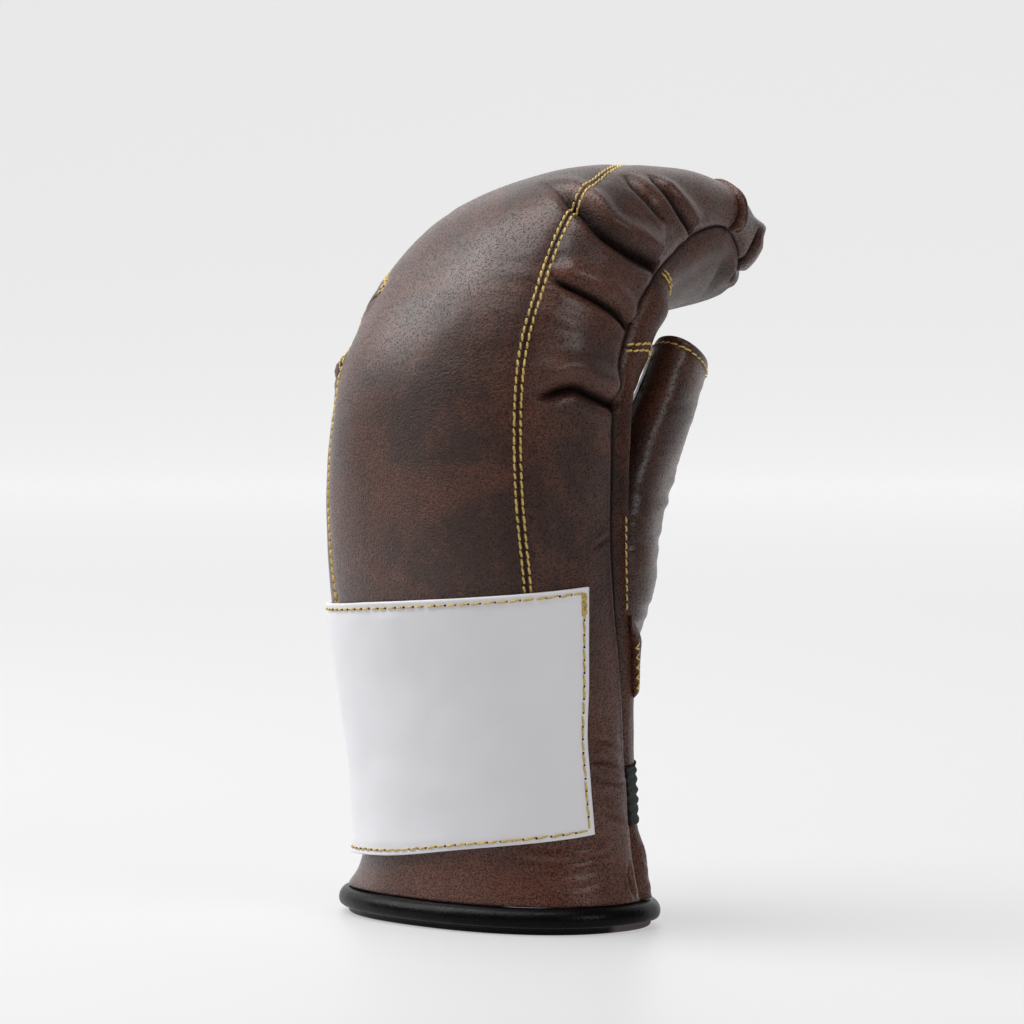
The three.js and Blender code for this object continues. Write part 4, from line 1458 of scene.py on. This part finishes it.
class GloveStudio(bpy.types.PropertyGroup):
    camera_azimuth: angle_prop("Azimuth", 47.0, "Camera's way round from the back of the hand")
    camera_elevation: angle_prop("Elevation", 3.5, "Camera's height over the floor, as an angle")
    camera_distance: length_prop("Camera distance", 2.2, "From the camera to the glove")
    sweep_distance: length_prop("Sweep distance", 3.6, "From the glove to where the paper turns up")
    floor_color: colour_prop("Paper", (0.26, 0.26, 0.262), "Colour of the studio paper")
    near_glow: share_prop("Near glow", 0.435, "Light that the paper gives off at the glove")
    far_glow: share_prop("Far glow", 0.78, "Light that the paper gives off far away")
    world_strength: share_prop("Room light", 0.09, "Strength of the room's light")
    key_power: power_prop("Top light", 24.0, "Power of the top softbox")
    fill_power: power_prop("Left light", 16.0, "Power of the left softbox")
    side_power: power_prop("Right light", 10.0, "Power of the right softbox")


class GLOVE_OT_back_panel(bpy.types.Operator):
    """Make the padded panel over the back of the hand"""

    bl_idname = "glove.back_panel"
    bl_label = "Back panel"

    def execute(self, context):
        make_back_panel()
        return {"FINISHED"}


class GLOVE_OT_side_panels(bpy.types.Operator):
    """Make the pleated panels at the two sides"""

    bl_idname = "glove.side_panels"
    bl_label = "Side panels"

    def execute(self, context):
        make_side_panels()
        return {"FINISHED"}


class GLOVE_OT_cuff(bpy.types.Operator):
    """Make the leather of the cuff"""

    bl_idname = "glove.cuff"
    bl_label = "Cuff"

    def execute(self, context):
        make_cuff()
        return {"FINISHED"}


class GLOVE_OT_palm(bpy.types.Operator):
    """Make the palm leather with its hole for the thumb"""

    bl_idname = "glove.palm"
    bl_label = "Palm"

    def execute(self, context):
        make_palm()
        return {"FINISHED"}


class GLOVE_OT_grip_roll(bpy.types.Operator):
    """Make the padded roll across the palm"""

    bl_idname = "glove.grip_roll"
    bl_label = "Grip roll"

    def execute(self, context):
        make_grip_roll()
        return {"FINISHED"}


class GLOVE_OT_finger_pad(bpy.types.Operator):
    """Make the fat roll under the fingers"""

    bl_idname = "glove.finger_pad"
    bl_label = "Finger pad"

    def execute(self, context):
        make_finger_pad()
        return {"FINISHED"}


class GLOVE_OT_thumb(bpy.types.Operator):
    """Make the leather tube for the thumb"""

    bl_idname = "glove.thumb"
    bl_label = "Thumb sheath"

    def execute(self, context):
        make_thumb()
        return {"FINISHED"}


class GLOVE_OT_thumb_tail(bpy.types.Operator):
    """Make the sewn tail under the thumb"""

    bl_idname = "glove.thumb_tail"
    bl_label = "Thumb tail"

    def execute(self, context):
        make_thumb_tail()
        return {"FINISHED"}


class GLOVE_OT_gusset(bpy.types.Operator):
    """Make the thin leather at the palm side of the cuff"""

    bl_idname = "glove.gusset"
    bl_label = "Gusset"

    def execute(self, context):
        make_gusset()
        return {"FINISHED"}


class GLOVE_OT_elastic(bpy.types.Operator):
    """Make the elastic band of the wrist"""

    bl_idname = "glove.elastic"
    bl_label = "Elastic"

    def execute(self, context):
        make_elastic()
        return {"FINISHED"}


class GLOVE_OT_binding(bpy.types.Operator):
    """Make the rolled binding of the cuff"""

    bl_idname = "glove.binding"
    bl_label = "Binding"

    def execute(self, context):
        make_binding()
        return {"FINISHED"}


class GLOVE_OT_label(bpy.types.Operator):
    """Make the label on the back of the cuff"""

    bl_idname = "glove.label"
    bl_label = "Label"

    def execute(self, context):
        make_label()
        return {"FINISHED"}


class GLOVE_OT_seam_stitches(bpy.types.Operator):
    """Sew the two double seams of the back"""

    bl_idname = "glove.seam_stitches"
    bl_label = "Seam stitches"

    def execute(self, context):
        make_seam_stitches()
        return {"FINISHED"}


class GLOVE_OT_label_stitches(bpy.types.Operator):
    """Sew the label on"""

    bl_idname = "glove.label_stitches"
    bl_label = "Label stitches"

    def execute(self, context):
        make_label_stitches()
        return {"FINISHED"}


class GLOVE_OT_details(bpy.types.Operator):
    """Sew the cross seams and the rim of the thumb"""

    bl_idname = "glove.details"
    bl_label = "Palm stitches"

    def execute(self, context):
        make_details()
        return {"FINISHED"}


class GLOVE_OT_stage(bpy.types.Operator):
    """Make the paper sweep, the lights and the camera"""

    bl_idname = "glove.stage"
    bl_label = "Studio"

    def execute(self, context):
        make_stage()
        return {"FINISHED"}


# In this order they run
OPERATORS = [
    GLOVE_OT_back_panel,
    GLOVE_OT_side_panels,
    GLOVE_OT_cuff,
    GLOVE_OT_palm,
    GLOVE_OT_grip_roll,
    GLOVE_OT_finger_pad,
    GLOVE_OT_thumb,
    GLOVE_OT_thumb_tail,
    GLOVE_OT_gusset,
    GLOVE_OT_elastic,
    GLOVE_OT_binding,
    GLOVE_OT_label,
    GLOVE_OT_seam_stitches,
    GLOVE_OT_label_stitches,
    GLOVE_OT_details,
    GLOVE_OT_stage,
]


class GLOVE_PT_panel(bpy.types.Panel):
    bl_idname = "GLOVE_PT_panel"
    bl_label = "Bag Glove"
    bl_space_type = "VIEW_3D"
    bl_region_type = "UI"
    bl_category = "Bag Glove"

    def draw(self, context):
        for group in (context.scene.glove_form, context.scene.glove_finish, context.scene.glove_studio):
            box = self.layout.box()
            for name in group.__annotations__:
                box.prop(group, name)
        for made in OPERATORS:
            self.layout.operator(made.bl_idname)


GROUPS = {"glove_form": GloveForm, "glove_finish": GloveFinish, "glove_studio": GloveStudio}


def register():
    for made in [*GROUPS.values(), *OPERATORS, GLOVE_PT_panel]:
        bpy.utils.register_class(made)
    for name, group in GROUPS.items():
        setattr(bpy.types.Scene, name, bpy.props.PointerProperty(type=group))


def unregister():
    for name in GROUPS:
        delattr(bpy.types.Scene, name)
    for made in reversed([*GROUPS.values(), *OPERATORS, GLOVE_PT_panel]):
        bpy.utils.unregister_class(made)


def main():
    register()
    for made in OPERATORS:
        getattr(bpy.ops.glove, made.bl_idname.split(".")[1])()


if __name__ == "__main__":
    main()
